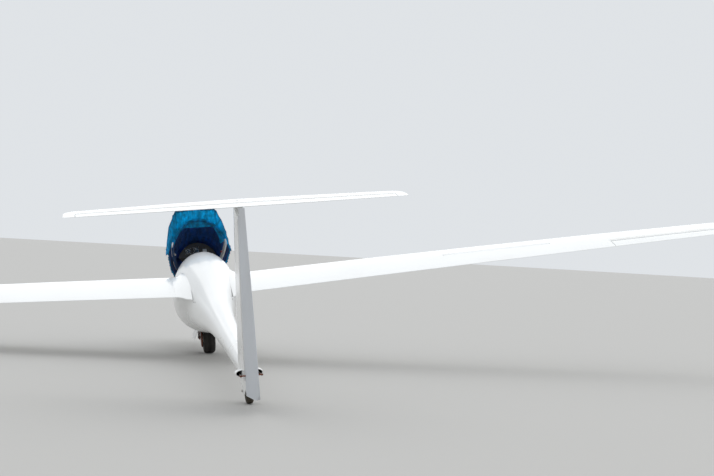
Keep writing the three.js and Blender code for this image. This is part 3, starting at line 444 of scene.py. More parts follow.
# Wing root tape: white tape, stuck round each wing root above and below, closes the joint
# between the wing and the fuselage.
ROOT_X, ROOT_TAPE_WIDTH = 0.376, 0.024
for word, side in SIDES:
    for face, high, way in (("top", 1.4, -1), ("underside", 0.3, 1)):
        tape(
            f"root_tape_{face}_{word}", f"wing_{word}", 40, 3,
            lambda u, v: (side * (ROOT_X + ROOT_TAPE_WIDTH * u), -0.12 - 0.76 * v, high), (0, 0, way),
            gelcoat)

# Pressure ports: turned rings let into the skin, two with small holes on each side of the boom
# and one round the open hole in the tip of the nose.
tape_paint = weathered("white_tape", (0.9, 0.9, 0.885), amount=0.3, gloss=0.38, grain=60, bump=0.03)
# Near-black painted shade for the insides of holes and open mouths, which no light reaches
unlit = weathered(
    "unlit_inside", (0.008, 0.007, 0.006), dust=(0.03, 0.02, 0.012), amount=0.5, gloss=0.8, grain=90)
PORT_RING = [
    (-0.001, 0), (0.0012, 0), (0.0012, 0.002), (0.0016, 0.0055), (0.0006, 0.007), (-0.001, 0.007)]
for word, side in SIDES:
    for y in (-1.1, -1.16):
        spot, outwards = touch("fuselage", (side, y, 0.62), (-side, 0, 0))
        add_piece(
            f"static_port_{word}_{-round(y * 100)}", turned(PORT_RING, spot, outwards, 20), "airframe",
            dark_rubber)
NOSE_RING = [(-0.004, 0.012), (0.001, 0.012), (0.0025, 0.0105), (0.0025, 0.009), (-0.004, 0.0085)]
NOSE_HOLE = [(-0.003, 0), (0.0006, 0), (0.0006, 0.0086), (-0.003, 0.0086)]
nose_tip = touch("fuselage", (0, 2.2, 0.53), (0, -1, 0))[0]
nose_ring = turned(NOSE_RING, nose_tip, (0, 1, 0), 32, closed=True)
add_piece("nose_port_ring", nose_ring, "airframe", tape_paint)
# The hole is a near-black disc of painted shade
add_piece("nose_port_hole", turned(NOSE_HOLE, nose_tip, (0, 1, 0), 24), "airframe", unlit)

# Wings: glass-fibre skins over a spar, filled and sanded to the aerofoil, in the same white gelcoat.
# The ailerons hang in notches, and each tip stands on a rubber skid.
for node in ("wing_left", "wing_right", "aileron_left", "aileron_right"):
    smoothed(node, node + "_skin", gelcoat)
skid_rubber = weathered("skid_rubber", (0.04, 0.04, 0.04), amount=0.5, gloss=0.7, grain=60, bump=0.2)
for node in ("tip_skid_left", "tip_skid_right"):
    smoothed(node, node + "_block", skid_rubber)
AILERON_IN, AILERON_OUT = (4.35, -0.62), (7.08, -0.538)
GAP_TAPE_WIDTH = 0.024
INSPECTION_COVERS = ((5.2, -0.42), (6.3, -0.44), (1.2, -0.5))
INSPECTION_DISC = [(-0.001, 0), (0.0008, 0), (0.0008, 0.034), (0.0002, 0.0355), (-0.001, 0.0355)]
for word, side in SIDES:
    for face, high, way in (("top", 2.0, -1), ("underside", 0.1, 1)):

        def over_gap(u, v):
            x = AILERON_IN[0] + (AILERON_OUT[0] - AILERON_IN[0]) * v
            y = AILERON_IN[1] + (AILERON_OUT[1] - AILERON_IN[1]) * v
            return side * x, y + GAP_TAPE_WIDTH * u, high

        tape(f"aileron_tape_{face}_{word}", f"wing_{word}", 60, 2, over_gap, (0, 0, way), tape_paint)
    # Inspection covers under the wing, two of them ahead of the aileron
    for number, (x, y) in enumerate(INSPECTION_COVERS):
        spot, outwards = touch(f"wing_{word}", (side * x, y, 0), (0, 0, 1))
        add_piece(
            f"inspection_cover_{word}_{number}", turned(INSPECTION_DISC, spot, outwards, 32), "airframe",
            tape_paint)

# Airbrakes: two thin aluminium plates in each wing, the upper one capped with a strip of the skin.
# They stand shut, so only their caps show as a fine outline in the wing.
bare_aluminium = weathered(
    "bare_aluminium", (0.62, 0.63, 0.64), amount=0.3, gloss=0.28, grain=90, bump=0.05, metal=1.0)
for side in ("left", "right"):
    for part in ("upper", "lower"):
        node = f"airbrake_{part}_{side}"
        smoothed(node, node + "_plate", gelcoat if part == "upper" else bare_aluminium)

# Tail: the fin and tailplane are white gelcoat. The rudder is a softer grey-white, partly its own paint and
# partly painted shade for its face turned away from the light.
# White tape seals the gaps ahead of the rudder and the elevator.
# The rudder's grey holds painted shade on top of the paint's own tone
rudder_paint = weathered(
    "rudder_paint", (0.58, 0.605, 0.64), dust=(0.42, 0.4, 0.37), amount=0.25, gloss=0.5, grain=24, bump=0.03)
for node in ("fin", "tailplane", "elevator"):
    smoothed(node, node + "_skin", gelcoat)
smoothed("rudder", "rudder_skin", rudder_paint)
RUDDER_FOOT = Vector((0, -4.47, 0.095))
RUDDER_HEAD = Vector((0, -4.56, 1.462))
RUDDER_TAPE_FOOT, RUDDER_TAPE_LONG = 0.36, 1.02


def hinge_y(z):
    # The rudder's hinge line leans back towards its head
    return -4.47 - 0.09 * (z - 0.095) / 1.367


def ahead_of_rudder(u, v):
    z = RUDDER_TAPE_FOOT + RUDDER_TAPE_LONG * v
    return side * 0.3, hinge_y(z) + 0.056 - 0.018 * v + 0.02 * u, z


for word, side in SIDES:
    tape(f"rudder_tape_{word}", "fin", 60, 2, ahead_of_rudder, (-side, 0, 0), tape_paint)
ELEVATOR_SPAN = 2.32
for face, high, way in (("top", 1.8, -1), ("underside", 1.3, 1)):
    tape(
        f"elevator_tape_{face}", "tailplane", 2, 90,
        lambda u, v: (ELEVATOR_SPAN * (u - 0.5), -4.412 - 0.012 * abs(2 * u - 1) + 0.02 * v, high),
        (0, 0, way), tape_paint)
TAILPLANE_BOLT = [
    (-0.003, 0), (0.0004, 0), (0.0004, 0.006), (0.0012, 0.0066), (0.0012, 0.0088), (-0.001, 0.0092),
    (-0.003, 0.0092)]
for y in (-4.16, -4.3):
    spot, outwards = touch("tailplane", (0, y, 1.8), (0, 0, -1))
    add_piece(
        f"tailplane_bolt_{-round(y * 100)}", turned(TAILPLANE_BOLT, spot, outwards, 24), "airframe",
        bare_aluminium)

# Rudder drive: two steel cables leave the tail through teardrop fairings, open behind,
# and end in forks on a rusty steel horn at the foot of the rudder.
rusty_steel = weathered(
    "rusty_steel", (0.16, 0.045, 0.03), dust=(0.32, 0.12, 0.05), amount=0.8, gloss=0.65, grain=70, bump=0.3,
    metal=0.3)
cable_steel = weathered(
    "cable_steel", (0.3, 0.28, 0.26), dust=(0.2, 0.09, 0.05), amount=0.6, gloss=0.45, grain=400, bump=0.2,
    metal=0.8)
smoothed("rudder_horn", "rudder_horn_bar", rusty_steel)
DROP_X, DROP_Y, DROP_Z = 0.056, -4.29, 0.246
for word, side in SIDES:

    def in_mouth(point):
        x, y, z = point.x - side * DROP_X, point.y - DROP_Y, point.z - DROP_Z
        return Vector((x / 0.05, y / 0.13, z / 0.029)).length < 0.95 and y > -0.0515

    # The inside faces of each mouth take the near-black painted shade for the deep shadow in the open fairing
    node = f"rudder_cable_fairing_{word}"
    smoothed(node, node + "_shell", gelcoat, inside=in_mouth, lining=unlit)

RUDDER_STORED = math.radians(1.5)
rudder_place = (
    glider
    @ Matrix.Translation(RUDDER_FOOT)
    @ Matrix.Rotation(RUDDER_STORED, 4, RUDDER_HEAD - RUDDER_FOOT)
    @ Matrix.Translation(-RUDDER_FOOT)
)
to_glider = glider.inverted() @ rudder_place
HORN_X, HORN_Z = 0.078, 0.243
FORK_PLATE, FORK_BACK = (0.013, 0.022, 0.0022), (0.013, 0.004, 0.0132)
FORK_PIN = [(-0.01, 0), (-0.01, 0.0045), (-0.0075, 0.0045), (-0.0075, 0.003), (0.009, 0.003), (0.009, 0)]
FORK_SHANK = [(0, 0), (0, 0.003), (0.008, 0.0024), (0.01, 0)]
CABLE_RADIUS = 0.0018
for word, side in SIDES:
    eye_at = Vector((side * HORN_X, hinge_y(HORN_Z), HORN_Z))
    fork = joined([
        block(FORK_PLATE, eye_at + Vector((0, 0.004, 0.0055)), 0.0008),
        block(FORK_PLATE, eye_at + Vector((0, 0.004, -0.0055)), 0.0008),
        block(FORK_BACK, eye_at + Vector((0, 0.0165, 0)), 0.001),
        turned(FORK_PIN, eye_at, (0, 0, 1), 16),
        turned(FORK_SHANK, eye_at + Vector((0, 0.018, 0)), (0, 1, 0), 14),
    ])
    add_piece(f"cable_fork_{word}", fork, "rudder", cable_steel, place=rudder_place)
    start = Vector((side * 0.07, -4.25, DROP_Z))
    end = to_glider @ (eye_at + Vector((0, 0.024, 0)))
    cable = add_piece(
        f"rudder_cable_{word}", rod([start, (start + end) / 2, end], CABLE_RADIUS, 16), None,
        cable_steel)
    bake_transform(cable)

# Wheels: black tyres on aluminium hubs, with a rusty brake drum on the left of the main wheel.
# The main wheel is held by two steel legs, and two thin doors hang beside it.
tyre_rubber = weathered(
    "tyre_rubber", (0.014, 0.013, 0.013), dust=(0.06, 0.05, 0.04), amount=0.5, gloss=0.75, grain=160,
    bump=0.2, splash=0.15)
dusty_rubber = weathered(
    "dusty_rubber", (0.03, 0.026, 0.02), dust=(0.16, 0.12, 0.075), amount=0.8, gloss=0.8, grain=160, bump=0.2,
    splash=0.3)
MAIN_CENTRE, TAIL_CENTRE = (0, 0, MAIN_HUB_Z), (0, -WHEELBASE, TAIL_HUB_Z)


def tyre(name, node, body, centre, half_profile, grooves, groove_depth, steps, rubber):
    # The casing's outer profile with round grooves cut into the tread, mirrored about the middle
    radius = half_profile[-1][1]
    tread = []
    for x in grooves:
        tread += [(x - 0.0032, radius), (x - 0.0022, radius - groove_depth)]
        tread += [(x + 0.0022, radius - groove_depth), (x + 0.0032, radius)]
    left = [(-x, r) for x, r in half_profile]
    profile = left + tread + [(x, r) for x, r in reversed(half_profile)]
    casing = turned(profile, centre, (1, 0, 0), steps, closed=True)
    piece = add_piece(name, casing, body, rubber, sharp=math.radians(50))
    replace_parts(piece, node)


tyre(
    "main_tyre_casing", "main_tyre", "main_wheel", MAIN_CENTRE,
    [
        (0.044, 0.0885), (0.0445, 0.098), (0.049, 0.103), (0.055, 0.11), (0.0595, 0.12), (0.0622, 0.132),
        (0.0622, 0.142), (0.0605, 0.149), (0.0606, 0.152), (0.0585, 0.1585), (0.054, 0.1655),
        (0.0475, 0.1712), (0.039, 0.1756), (0.029, 0.1785), (0.018, 0.18)],
    grooves=(-0.0105, 0.0, 0.0105), groove_depth=0.0045, steps=120, rubber=tyre_rubber)
tyre(
    "tail_tyre_casing", "tail_tyre", "tail_wheel", TAIL_CENTRE,
    [
        (0.02, 0.0525), (0.0215, 0.058), (0.0245, 0.064), (0.0272, 0.072), (0.028, 0.08), (0.0268, 0.087),
        (0.0238, 0.093), (0.0185, 0.0972), (0.012, 0.0995), (0.0075, 0.1)],
    grooves=(-0.0037, 0.0037), groove_depth=0.0025, steps=90, rubber=dusty_rubber)
for node in ("main_wheel_hub", "tail_wheel_hub", "main_axle", "tail_axle"):
    smoothed(node, node + "_metal", bare_aluminium)
for node in ("brake_disc", "gear_leg"):
    smoothed(node, node + "_steel", rusty_steel)
for node in ("gear_door_left", "gear_door_right"):
    smoothed(node, node + "_leaf", gelcoat)

# Wheel bolts and axle nuts: plated steel. Bolts join the halves of each hub and hold the brake drum,
# and a nut on a washer holds each end of the axles. A bent valve stands out of the main hub.
BOLT = [
    (0, 0), (0, 0.0052), (0.0035, 0.0052), (0.0042, 0.0046), (0.0042, 0.0026), (0.0075, 0.0026),
    (0.008, 0.002), (0.008, 0)]
bolts = []
for side, x, reach in ((1, 0.0225, 0.056), (-1, -0.079, 0.05)):
    for i in range(8):
        angle = math.pi * i / 4
        spot = (x, reach * math.cos(angle), MAIN_HUB_Z + reach * math.sin(angle))
        bolts.append(turned(BOLT, spot, (side, 0, 0), 6))
bolts.append(rod([(0.03, 0.06, 0.2), (0.048, 0.064, 0.202), (0.056, 0.066, 0.203)], 0.0028))
add_piece("main_wheel_bolts", joined(bolts), "main_wheel", cable_steel)
tail_bolts = []
for side in (-1, 1):
    for angle in (0.4, 1.66, 2.91, 4.17, 5.43):
        spot = (side * 0.0085, -WHEELBASE + 0.03 * math.cos(angle), TAIL_HUB_Z + 0.03 * math.sin(angle))
        tail_bolts.append(turned(BOLT, spot, (side, 0, 0), 6))
add_piece("tail_wheel_bolts", joined(tail_bolts), "tail_wheel", cable_steel)
NUT = [(0, 0), (0, 0.021), (0.0015, 0.021), (0.0015, 0.0155), (0.009, 0.0155), (0.0105, 0.0135), (0.0105, 0)]
nuts = [turned(NUT, (side * 0.1025, 0, MAIN_HUB_Z), (side, 0, 0), 6) for side in (-1, 1)]
add_piece("main_axle_nuts", joined(nuts), "airframe", cable_steel)
TAIL_NUT = [(0, 0), (0, 0.012), (0.0012, 0.012), (0.0012, 0.009), (0.006, 0.009), (0.007, 0.008), (0.007, 0)]
tail_nuts = []
for side in (-1, 1):
    wall = touch("fuselage", (side * 0.2, -WHEELBASE, TAIL_HUB_Z), (-side, 0, 0))
    tail_nuts.append(turned(TAIL_NUT, wall[0], (side, 0, 0), 6))
add_piece("tail_axle_nuts", joined(tail_nuts), "airframe", cable_steel)

# Brake lever and hose, and the doors' hinges: a flat steel lever with two round ends works the drum,
# fed by a black hose. Each door turns on a long tube and is pulled by a thin rod.
LEVER_UP = Matrix.Rotation(math.radians(38), 4, "X")
LOWER_END = [(0, 0), (0, 0.009), (0.006, 0.009), (0.007, 0.007), (0.007, 0)]
UPPER_END = [(0, 0), (0, 0.006), (0.006, 0.006), (0.007, 0.005), (0.007, 0)]
lever = joined([
    block((0.005, 0.07, 0.014), (-0.1055, 0.03, 0.222), 0.002, LEVER_UP),
    turned(LOWER_END, (-0.1035, 0.004, 0.203), (-1, 0, 0), 18),
    turned(UPPER_END, (-0.1035, 0.055, 0.242), (-1, 0, 0), 18),
])
add_piece("brake_lever", lever, "airframe", rusty_steel)
HOSE_LINE = [
    (-0.104, 0.056, 0.243), (-0.1, 0.06, 0.29), (-0.097, 0.045, 0.36), (-0.1, 0.03, 0.45),
    (-0.098, 0.06, 0.54)]
HOSE_RADIUS = 0.0032
add_piece("brake_hose", rod(HOSE_LINE, HOSE_RADIUS), "airframe", dark_rubber)
DOOR_X, DOOR_Z, DOOR_HALF = 0.1105, 0.2805, 0.234
KNUCKLE = [(-0.02, 0), (-0.02, 0.005), (0.02, 0.005), (0.02, 0)]
ROD_EYE = [(-0.004, 0), (-0.004, 0.006), (0.004, 0.006), (0.004, 0)]
for word, side in SIDES:
    x = side * DOOR_X
    hinge = [rod([(x, -DOOR_HALF, DOOR_Z), (x, DOOR_HALF, DOOR_Z)], 0.0035, 2)]
    hinge += [turned(KNUCKLE, (x, y, DOOR_Z), (0, 1, 0), 16) for y in (-0.19, -0.06, 0.07, 0.19)]
    add_piece(f"door_hinge_{word}", joined(hinge), "airframe", bare_aluminium)
    rod_top, rod_foot = (side * 0.1, 0.16, 0.33), (side * 0.132, 0.16, 0.236)
    door_rod = joined([rod([rod_top, rod_foot], 0.003, 2), turned(ROD_EYE, rod_foot, (0, 1, 0), 16)])
    add_piece(f"door_rod_{word}", door_rod, "airframe", cable_steel)

# Canopy: an acrylic shell in a white frame, hinged inside the nose and raised.
# A blue cloth cover is wrapped round it, and light comes through the single layer of cloth.
CANOPY_AXIS = Vector((0, 1.61, 0.672))
CANOPY_RAISED = math.radians(18)
raised = (
    glider
    @ Matrix.Translation(CANOPY_AXIS)
    @ Matrix.Rotation(-CANOPY_RAISED, 4, "X")
    @ Matrix.Translation(-CANOPY_AXIS)
)
smoothed("canopy_frame", "canopy_frame_rim", gelcoat)
acrylic = bpy.data.materials.new("clear_acrylic")
acrylic.use_nodes = True
acrylic_shader = acrylic.node_tree.nodes["Principled BSDF"]
acrylic_shader.inputs["Base Color"].default_value = (0.93, 0.98, 1.0, 1)
acrylic_shader.inputs["Roughness"].default_value = 0.03
acrylic_shader.inputs["Transmission Weight"].default_value = 1
acrylic_shader.inputs["IOR"].default_value = 1.03
smoothed("canopy_glass", "canopy_shell", acrylic)

# Cover cloth: one layer of bright blue nylon that lets the light through, with a hem all round.
# Behind the frame it flares into a free flap, which stands square on the canopy's rear edge.


def cloth_paint(name, colour, glow, through_share):
    # Fine weave and cloudy patches, with long streaks of painted shade and painted highlight for the folds;
    # through_share is the light from the far side
    paint = bpy.data.materials.new(name)
    paint.use_nodes = True
    tree = paint.node_tree
    shader, outlet = tree.nodes["Principled BSDF"], tree.nodes["Material Output"]
    back = raised.inverted()
    place = add_node(tree, "TexCoord")
    into_canopy = add_node(tree, "Mapping", Rotation=back.to_euler(), Location=back.to_translation())
    lengthways = add_node(tree, "Mapping", Scale=(34, 4, 30))
    cloudy = add_node(tree, "TexNoise", Scale=6, Detail=4)
    fold_shade_noise = add_node(tree, "TexNoise", Scale=1, Detail=3)
    weave = add_node(tree, "TexNoise", Scale=900, Detail=2)
    patches = add_node(tree, "MapRange", From_Min=0.35, From_Max=0.65, To_Min=0.8, To_Max=1.05)
    # Long streaks darker and lighter than the cloth: painted shade and painted highlight for its folds
    fold_shade = add_node(tree, "MapRange", From_Min=0.35, From_Max=0.65, To_Min=0.66, To_Max=1.12)
    patches_and_fold_shade = add_node(tree, "Math", "MULTIPLY")
    shaded, lit = add_node(tree, "Mix"), add_node(tree, "Mix")
    for mix, tint in ((shaded, colour), (lit, glow)):
        mix.data_type = "RGBA"
        mix.blend_type = "MULTIPLY"
        mix.inputs["Factor"].default_value = 1
        mix.inputs["A"].default_value = (*tint, 1)
    ripple = add_node(tree, "Bump", Strength=0.25, Distance=0.002)
    through = add_node(tree, "BsdfTranslucent")
    both = add_node(tree, "MixShader", Fac=through_share)
    shader.inputs["Roughness"].default_value = 0.8
    shader.inputs["Sheen Weight"].default_value = 0.2
    wire(
        tree,
        (place.outputs["Object"], into_canopy.inputs["Vector"]),
        (place.outputs["Object"], weave.inputs["Vector"]),
        (into_canopy.outputs["Vector"], cloudy.inputs["Vector"]),
        (into_canopy.outputs["Vector"], lengthways.inputs["Vector"]),
        (lengthways.outputs["Vector"], fold_shade_noise.inputs["Vector"]),
        (cloudy.outputs["Fac"], patches.inputs["Value"]),
        (fold_shade_noise.outputs["Fac"], fold_shade.inputs["Value"]),
        (patches.outputs["Result"], patches_and_fold_shade.inputs[0]),
        (fold_shade.outputs["Result"], patches_and_fold_shade.inputs[1]),
        (patches_and_fold_shade.outputs[0], shaded.inputs["B"]),
        (patches_and_fold_shade.outputs[0], lit.inputs["B"]),
        (shaded.outputs["Result"], shader.inputs["Base Color"]),
        (weave.outputs["Fac"], ripple.inputs["Height"]),
        (ripple.outputs["Normal"], shader.inputs["Normal"]),
        (lit.outputs["Result"], through.inputs["Color"]),
        (shader.outputs["BSDF"], both.inputs[1]),
        (through.outputs["BSDF"], both.inputs[2]),
        (both.outputs["Shader"], outlet.inputs["Surface"]),
    )
    return paint


def between(pairs, at):
    # Straight interpolation in a list of (place, values...)
    for start, end in zip(pairs, pairs[1:]):
        if at <= end[0]:
            share = max(0.0, at - start[0]) / (end[0] - start[0])
            return [a + (b - a) * share for a, b in zip(start[1:], end[1:])]
    return list(pairs[-1][1:])


def evened(values, passes):
    for _ in range(passes):
        inner = [(a + 2 * b + c) / 4 for a, b, c in zip(values, values[1:], values[2:])]
        values = [values[0], *inner, values[-1]]
    return values


def round_section(node, y, angle):
    # How far a CAD node's outer side lies from the canopy's middle line, at an angle from straight up
    out = Vector((math.sin(angle), 0, math.cos(angle)))
    middle = Vector((0, y, AXIS_HEIGHT))
    found = touch(node, middle + out * 0.8, -out, raised)
    return (found[0] - middle).length if found else None


cover_cloth = cloth_paint("cover_cloth", (0.0, 0.37, 0.64), (0.0, 0.6, 0.86), 0.68)
COVER_REAR, COVER_FRONT, ON_FRAME = 0.2155, 1.51, 0.46
CANOPY_REAR, CANOPY_FRONT = 0.42, 1.47
AXIS_HEIGHT = 0.74
COVER_ROWS, HALF_COLUMNS = 140, 85
COVER_COLUMNS = 2 * HALF_COLUMNS
SIDE_RAYS, SILL_HALF_WIDTH = 40, 0.29
SILL_SHARE, SKIRT_FLARE = 0.8, 0.018
SKIRT_DROP = [(1.2, 0.06), (1.42, 0.012)]
HULL_GAP, SKIRT_GAP = 0.008, 0.009
# The flap's rear hem: share of the way down one side, distance out, height
REAR_HEM = [
    (0, 0.0, 1.138), (0.46, 0.212, 1.132), (0.58, 0.27, 1.01), (0.7, 0.312, 0.87), (0.8, 0.327, 0.745),
    (0.9, 0.326, 0.69), (1, 0.32, 0.635)]
SILL_HEIGHT = [(0.3, 0.796), (0.6, 0.759), (0.85, 0.732), (1.0, 0.722), (1.6, 0.722)]


def free_share(y):
    # 0 where the cover lies on the frame, growing to 1 at the free flap's hem
    return min(1, max(0, (ON_FRAME - y) / (ON_FRAME - COVER_REAR)))


def canopy_side(y):
    # One side of the cover where it lies on the canopy, from the top to its hem
    sill = between(SILL_HEIGHT, y)[0]
    last = math.radians(90) - math.atan2(sill - AXIS_HEIGHT, SILL_HALF_WIDTH)
    reach = []
    for k in range(SIDE_RAYS + 1):
        reach.append(round_section("canopy_cover", y, last * k / SIDE_RAYS) or reach[-1])
    reach = evened(reach, 6)
    foot = Vector((math.sin(last), math.cos(last))) * reach[-1]
    flare = SKIRT_FLARE * (COVER_FRONT - y) / (COVER_FRONT - COVER_REAR)
    drop = between(SKIRT_DROP, y)[0]
    line = []
    for j in range(HALF_COLUMNS + 1):
        down = j / HALF_COLUMNS
        if down < SILL_SHARE:
            k = down / SILL_SHARE * SIDE_RAYS
            near, far = reach[int(k)], reach[min(SIDE_RAYS, int(k) + 1)]
            r, angle = near + (far - near) * (k - int(k)), last * k / SIDE_RAYS
            line.append((math.sin(angle) * r, AXIS_HEIGHT + math.cos(angle) * r))
        else:
            beyond = (down - SILL_SHARE) / (1 - SILL_SHARE)
            line.append((foot.x + flare * beyond, AXIS_HEIGHT + foot.y - drop * beyond))
    return line


cover_y = [COVER_REAR + (COVER_FRONT - COVER_REAR) * i / COVER_ROWS for i in range(COVER_ROWS + 1)]
cover_side = []
for y in cover_y:
    rear = free_share(y) ** 1.1
    line = []
    for j, (x, z) in enumerate(canopy_side(min(CANOPY_FRONT, max(CANOPY_REAR, y)))):
        hem_x, hem_z = between(REAR_HEM, j / HALF_COLUMNS)
        line.append((x + (hem_x - x) * rear, z + (hem_z - z) * rear))
    # The skirt lies outside the hull, also when the canopy is shut
    for j, (x, z) in enumerate(line):
        hull = touch("fuselage", (1, y, z), (-1, 0, 0)) if z < AXIS_HEIGHT + 0.28 else None
        if hull and x > 0.1:
            line[j] = (max(x, hull[0].x + SKIRT_GAP), z)
    cover_side.append(list(zip(evened([p[0] for p in line], 3), evened([p[1] for p in line], 3))))
for j in range(HALF_COLUMNS + 1):
    across, high = (evened([row[j][k] for row in cover_side], 8) for k in (0, 1))
    for row, x, z in zip(cover_side, across, high):
        row[j] = (x, z)
# The smoothing draws some of it back into the hull, and this takes it out again
for y, row in zip(cover_y, cover_side):
    for j, (x, z) in enumerate(row):
        hull = touch("fuselage", (1, y, z), (-1, 0, 0))
        roof = touch("fuselage", (x, y, 2), (0, 0, -1)) if x < 0.1 else None
        if hull and x > 0.05:
            x = max(x, hull[0].x + HULL_GAP)
        if roof and z - HULL_GAP < roof[0].z < z + 0.03:
            z = roof[0].z + HULL_GAP
        row[j] = (x, z)


REAR_FOLD, CORNER_FOLD, SAG, CREASE, GATHER = 0.009, 0.013, 0.005, 0.004, 0.008
CORNER_X, GATHERED_FROM = 0.23, 0.84


def wrinkle(side_way, y, down):
    # Height of the folds at a place: fine ones along the rear, tight ones out of the corners, a gathered hem
    from_hem = y - COVER_REAR
    ridge = 1 - abs(noise.noise(Vector((side_way * 26, y * 2.6, 3))))
    fold_shade = REAR_FOLD * ridge**5 * math.exp(-from_hem / 0.3)
    for corner in (-CORNER_X, CORNER_X):
        away = Vector((side_way - corner, from_hem + 0.02, 0))
        angle, far = math.atan2(away.y, away.x), away.length
        strain = 1 - abs(noise.noise(Vector((angle * 3.4, 7 + corner, far * 1.5))))
        fold_shade += CORNER_FOLD * strain**6 * math.exp(-far / 0.28) * (1 - math.exp(-far / 0.04))
    sag = SAG * (0.5 + noise.noise(Vector((side_way * 6, y * 5, 9))))
    crease = 1 - abs(noise.noise(Vector((side_way * 9 + y * 6, y * 9 - side_way * 5, 21))))
    wave = 0.5 + 0.5 * math.sin(y * 84 + 5 * noise.noise(Vector((y * 7, down, 30))))
    hem = GATHER * max(0.0, (down - GATHERED_FROM) / 0.16) * wave
    return max(0, fold_shade + sag + CREASE * crease**8) + hem


FLAP_PULL = -0.026


def cover_spot(u, v, lift=0.0):
    side, down = (1 if u > 0.5 else -1), abs(2 * u - 1)
    i, j = v * COVER_ROWS, down * HALF_COLUMNS
    i0, j0 = min(int(i), COVER_ROWS - 1), min(int(j), HALF_COLUMNS - 1)
    a, b = i - i0, j - j0
    y = cover_y[i0] + (cover_y[i0 + 1] - cover_y[i0]) * a
    near = Vector(cover_side[i0][j0]).lerp(Vector(cover_side[i0][j0 + 1]), b)
    far = Vector(cover_side[i0 + 1][j0]).lerp(Vector(cover_side[i0 + 1][j0 + 1]), b)
    x, z = near.lerp(far, a)
    out = Vector((side * x, 0, z - AXIS_HEIGHT + 0.1)).normalized()
    lifted = wrinkle(side * down * 0.52, y, down) + lift
    # The free flap is pulled a little to the left
    return Vector((side * x + FLAP_PULL * free_share(y), y, z)) + out * lifted


CLOTH_SHARP = math.radians(60)


def sewn(name, mesh, cloth):
    return add_piece(name, mesh, "canopy", cloth, place=raised, sharp=CLOTH_SHARP)


cover = sewn("canopy_cover_cloth", laid(COVER_ROWS, COVER_COLUMNS, cover_spot, 0.0009), cover_cloth)
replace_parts(cover, "canopy_cover")

# Cover hems: folded strips of a darker second layer, sewn along all four edges of the cover,
# and two narrow seams that run its whole length.
seam_cloth = cloth_paint("seam_cloth", (0.0, 0.22, 0.42), (0.0, 0.2, 0.36), 0.5)
HEM_LIFT, HEM_THICK = 0.0012, 0.0008
STRIPS = (
    (2, COVER_COLUMNS, lambda u, v: (u, 0.018 * v)),
    (2, COVER_COLUMNS, lambda u, v: (u, 1 - 0.014 * v)),
    (COVER_ROWS, 2, lambda u, v: (0.014 * u, v)),
    (COVER_ROWS, 2, lambda u, v: (1 - 0.014 * u, v)),
    (COVER_ROWS, 1, lambda u, v: (0.27 + 0.008 * u, v)),
    (COVER_ROWS, 1, lambda u, v: (0.722 + 0.008 * u, v)),
)
trims = []
for rows, columns, at in STRIPS:
    trims.append(laid(rows, columns, lambda u, v: cover_spot(*at(u, v), HEM_LIFT), HEM_THICK))
hems = sewn("canopy_cover_hems", joined(trims), seam_cloth)

# Cover lining: a second layer of navy cloth, sewn inside the cover from just behind the frame
# to its front hem.
navy_cloth = cloth_paint("navy_cloth", (0.0, 0.1, 0.36), (0.0, 0.2, 0.6), 0.35)
LINING_REAR = (0.47 - COVER_REAR) / (COVER_FRONT - COVER_REAR)
LINING_FRONT = 0.985


def lining_spot(u, v):
    ragged = 0.004 * noise.noise(Vector((u * 9, 2, 70))) * (1 - v)
    return cover_spot(0.03 + 0.94 * u, LINING_REAR + ragged + (LINING_FRONT - LINING_REAR) * v, -0.0022)


lining = sewn("canopy_cover_lining", laid(110, 130, lining_spot, 0.0007), navy_cloth)

# Cover pocket: a strip of the blue cloth, pulled tight round the rear of the frame and down its sides.
# Its outer edge is sewn to the cover, and its inner edge hangs free.
POCKET_Y, FURTHEST = 0.35, 0.6
POCKET_FROM, POCKET_TURN = -97, 190


def pocket_spot(u, v):
    angle = math.radians(POCKET_FROM + POCKET_TURN * u)
    out = Vector((math.sin(angle), 0, math.cos(angle)))
    reach = round_section("canopy_frame", POCKET_Y, angle)
    if reach is None or reach > FURTHEST:
        return None
    behind = Vector((0, POCKET_Y - 0.2, AXIS_HEIGHT)) + out * (reach - 0.008)
    rear = touch("canopy_frame", behind, (0, 1, 0), raised)
    edge = min(0.345, rear[0].y) if rear else 0.34
    path = [
        (edge, reach + 0.002), (edge - 0.001, reach), (edge - 0.002, reach - 0.008),
        (edge - 0.002, reach - 0.016), (edge + 0.004, reach - 0.0205), (edge + 0.03, reach - 0.0215),
        (0.4, reach - 0.0225)]
    t = v * (len(path) - 1)
    k = min(int(t), len(path) - 2)
    y, r = (path[k][m] + (path[k + 1][m] - path[k][m]) * (t - k) for m in (0, 1))
    pinch = 0.0025 * noise.noise(Vector((angle * 14, v * 3, 40)))
    if v > 0.55:
        y += 0.012 * noise.noise(Vector((angle * 5, 1, 50))) * (v - 0.55) / 0.45
    return Vector((0, y, AXIS_HEIGHT)) + out * (r + (pinch if v > 0.6 else 0))


pocket = sewn("canopy_cover_pocket", laid(18, 150, pocket_spot, 0.0008), cover_cloth)

# Cover curtain: the pocket's free edge, which hangs inside the frame in small pleats and ends in
# cut corners. The list gives share of its length, angle, and its lower edge's distance out and height.
CURTAIN_Y = 0.36
CURTAIN_EDGE = [
    (0, -90, -0.274, 0.745), (0.1, -80, -0.277, 0.8), (0.22, -62, -0.262, 0.887), (0.42, -38, -0.192, 0.984),
    (0.66, 36, 0.168, 0.98), (0.8, 62, 0.222, 0.85), (0.9, 84, 0.234, 0.75), (1, 102, 0.232, 0.69)]
INSIDE_FRAME, LEAST_DEPTH = 0.0235, 0.008


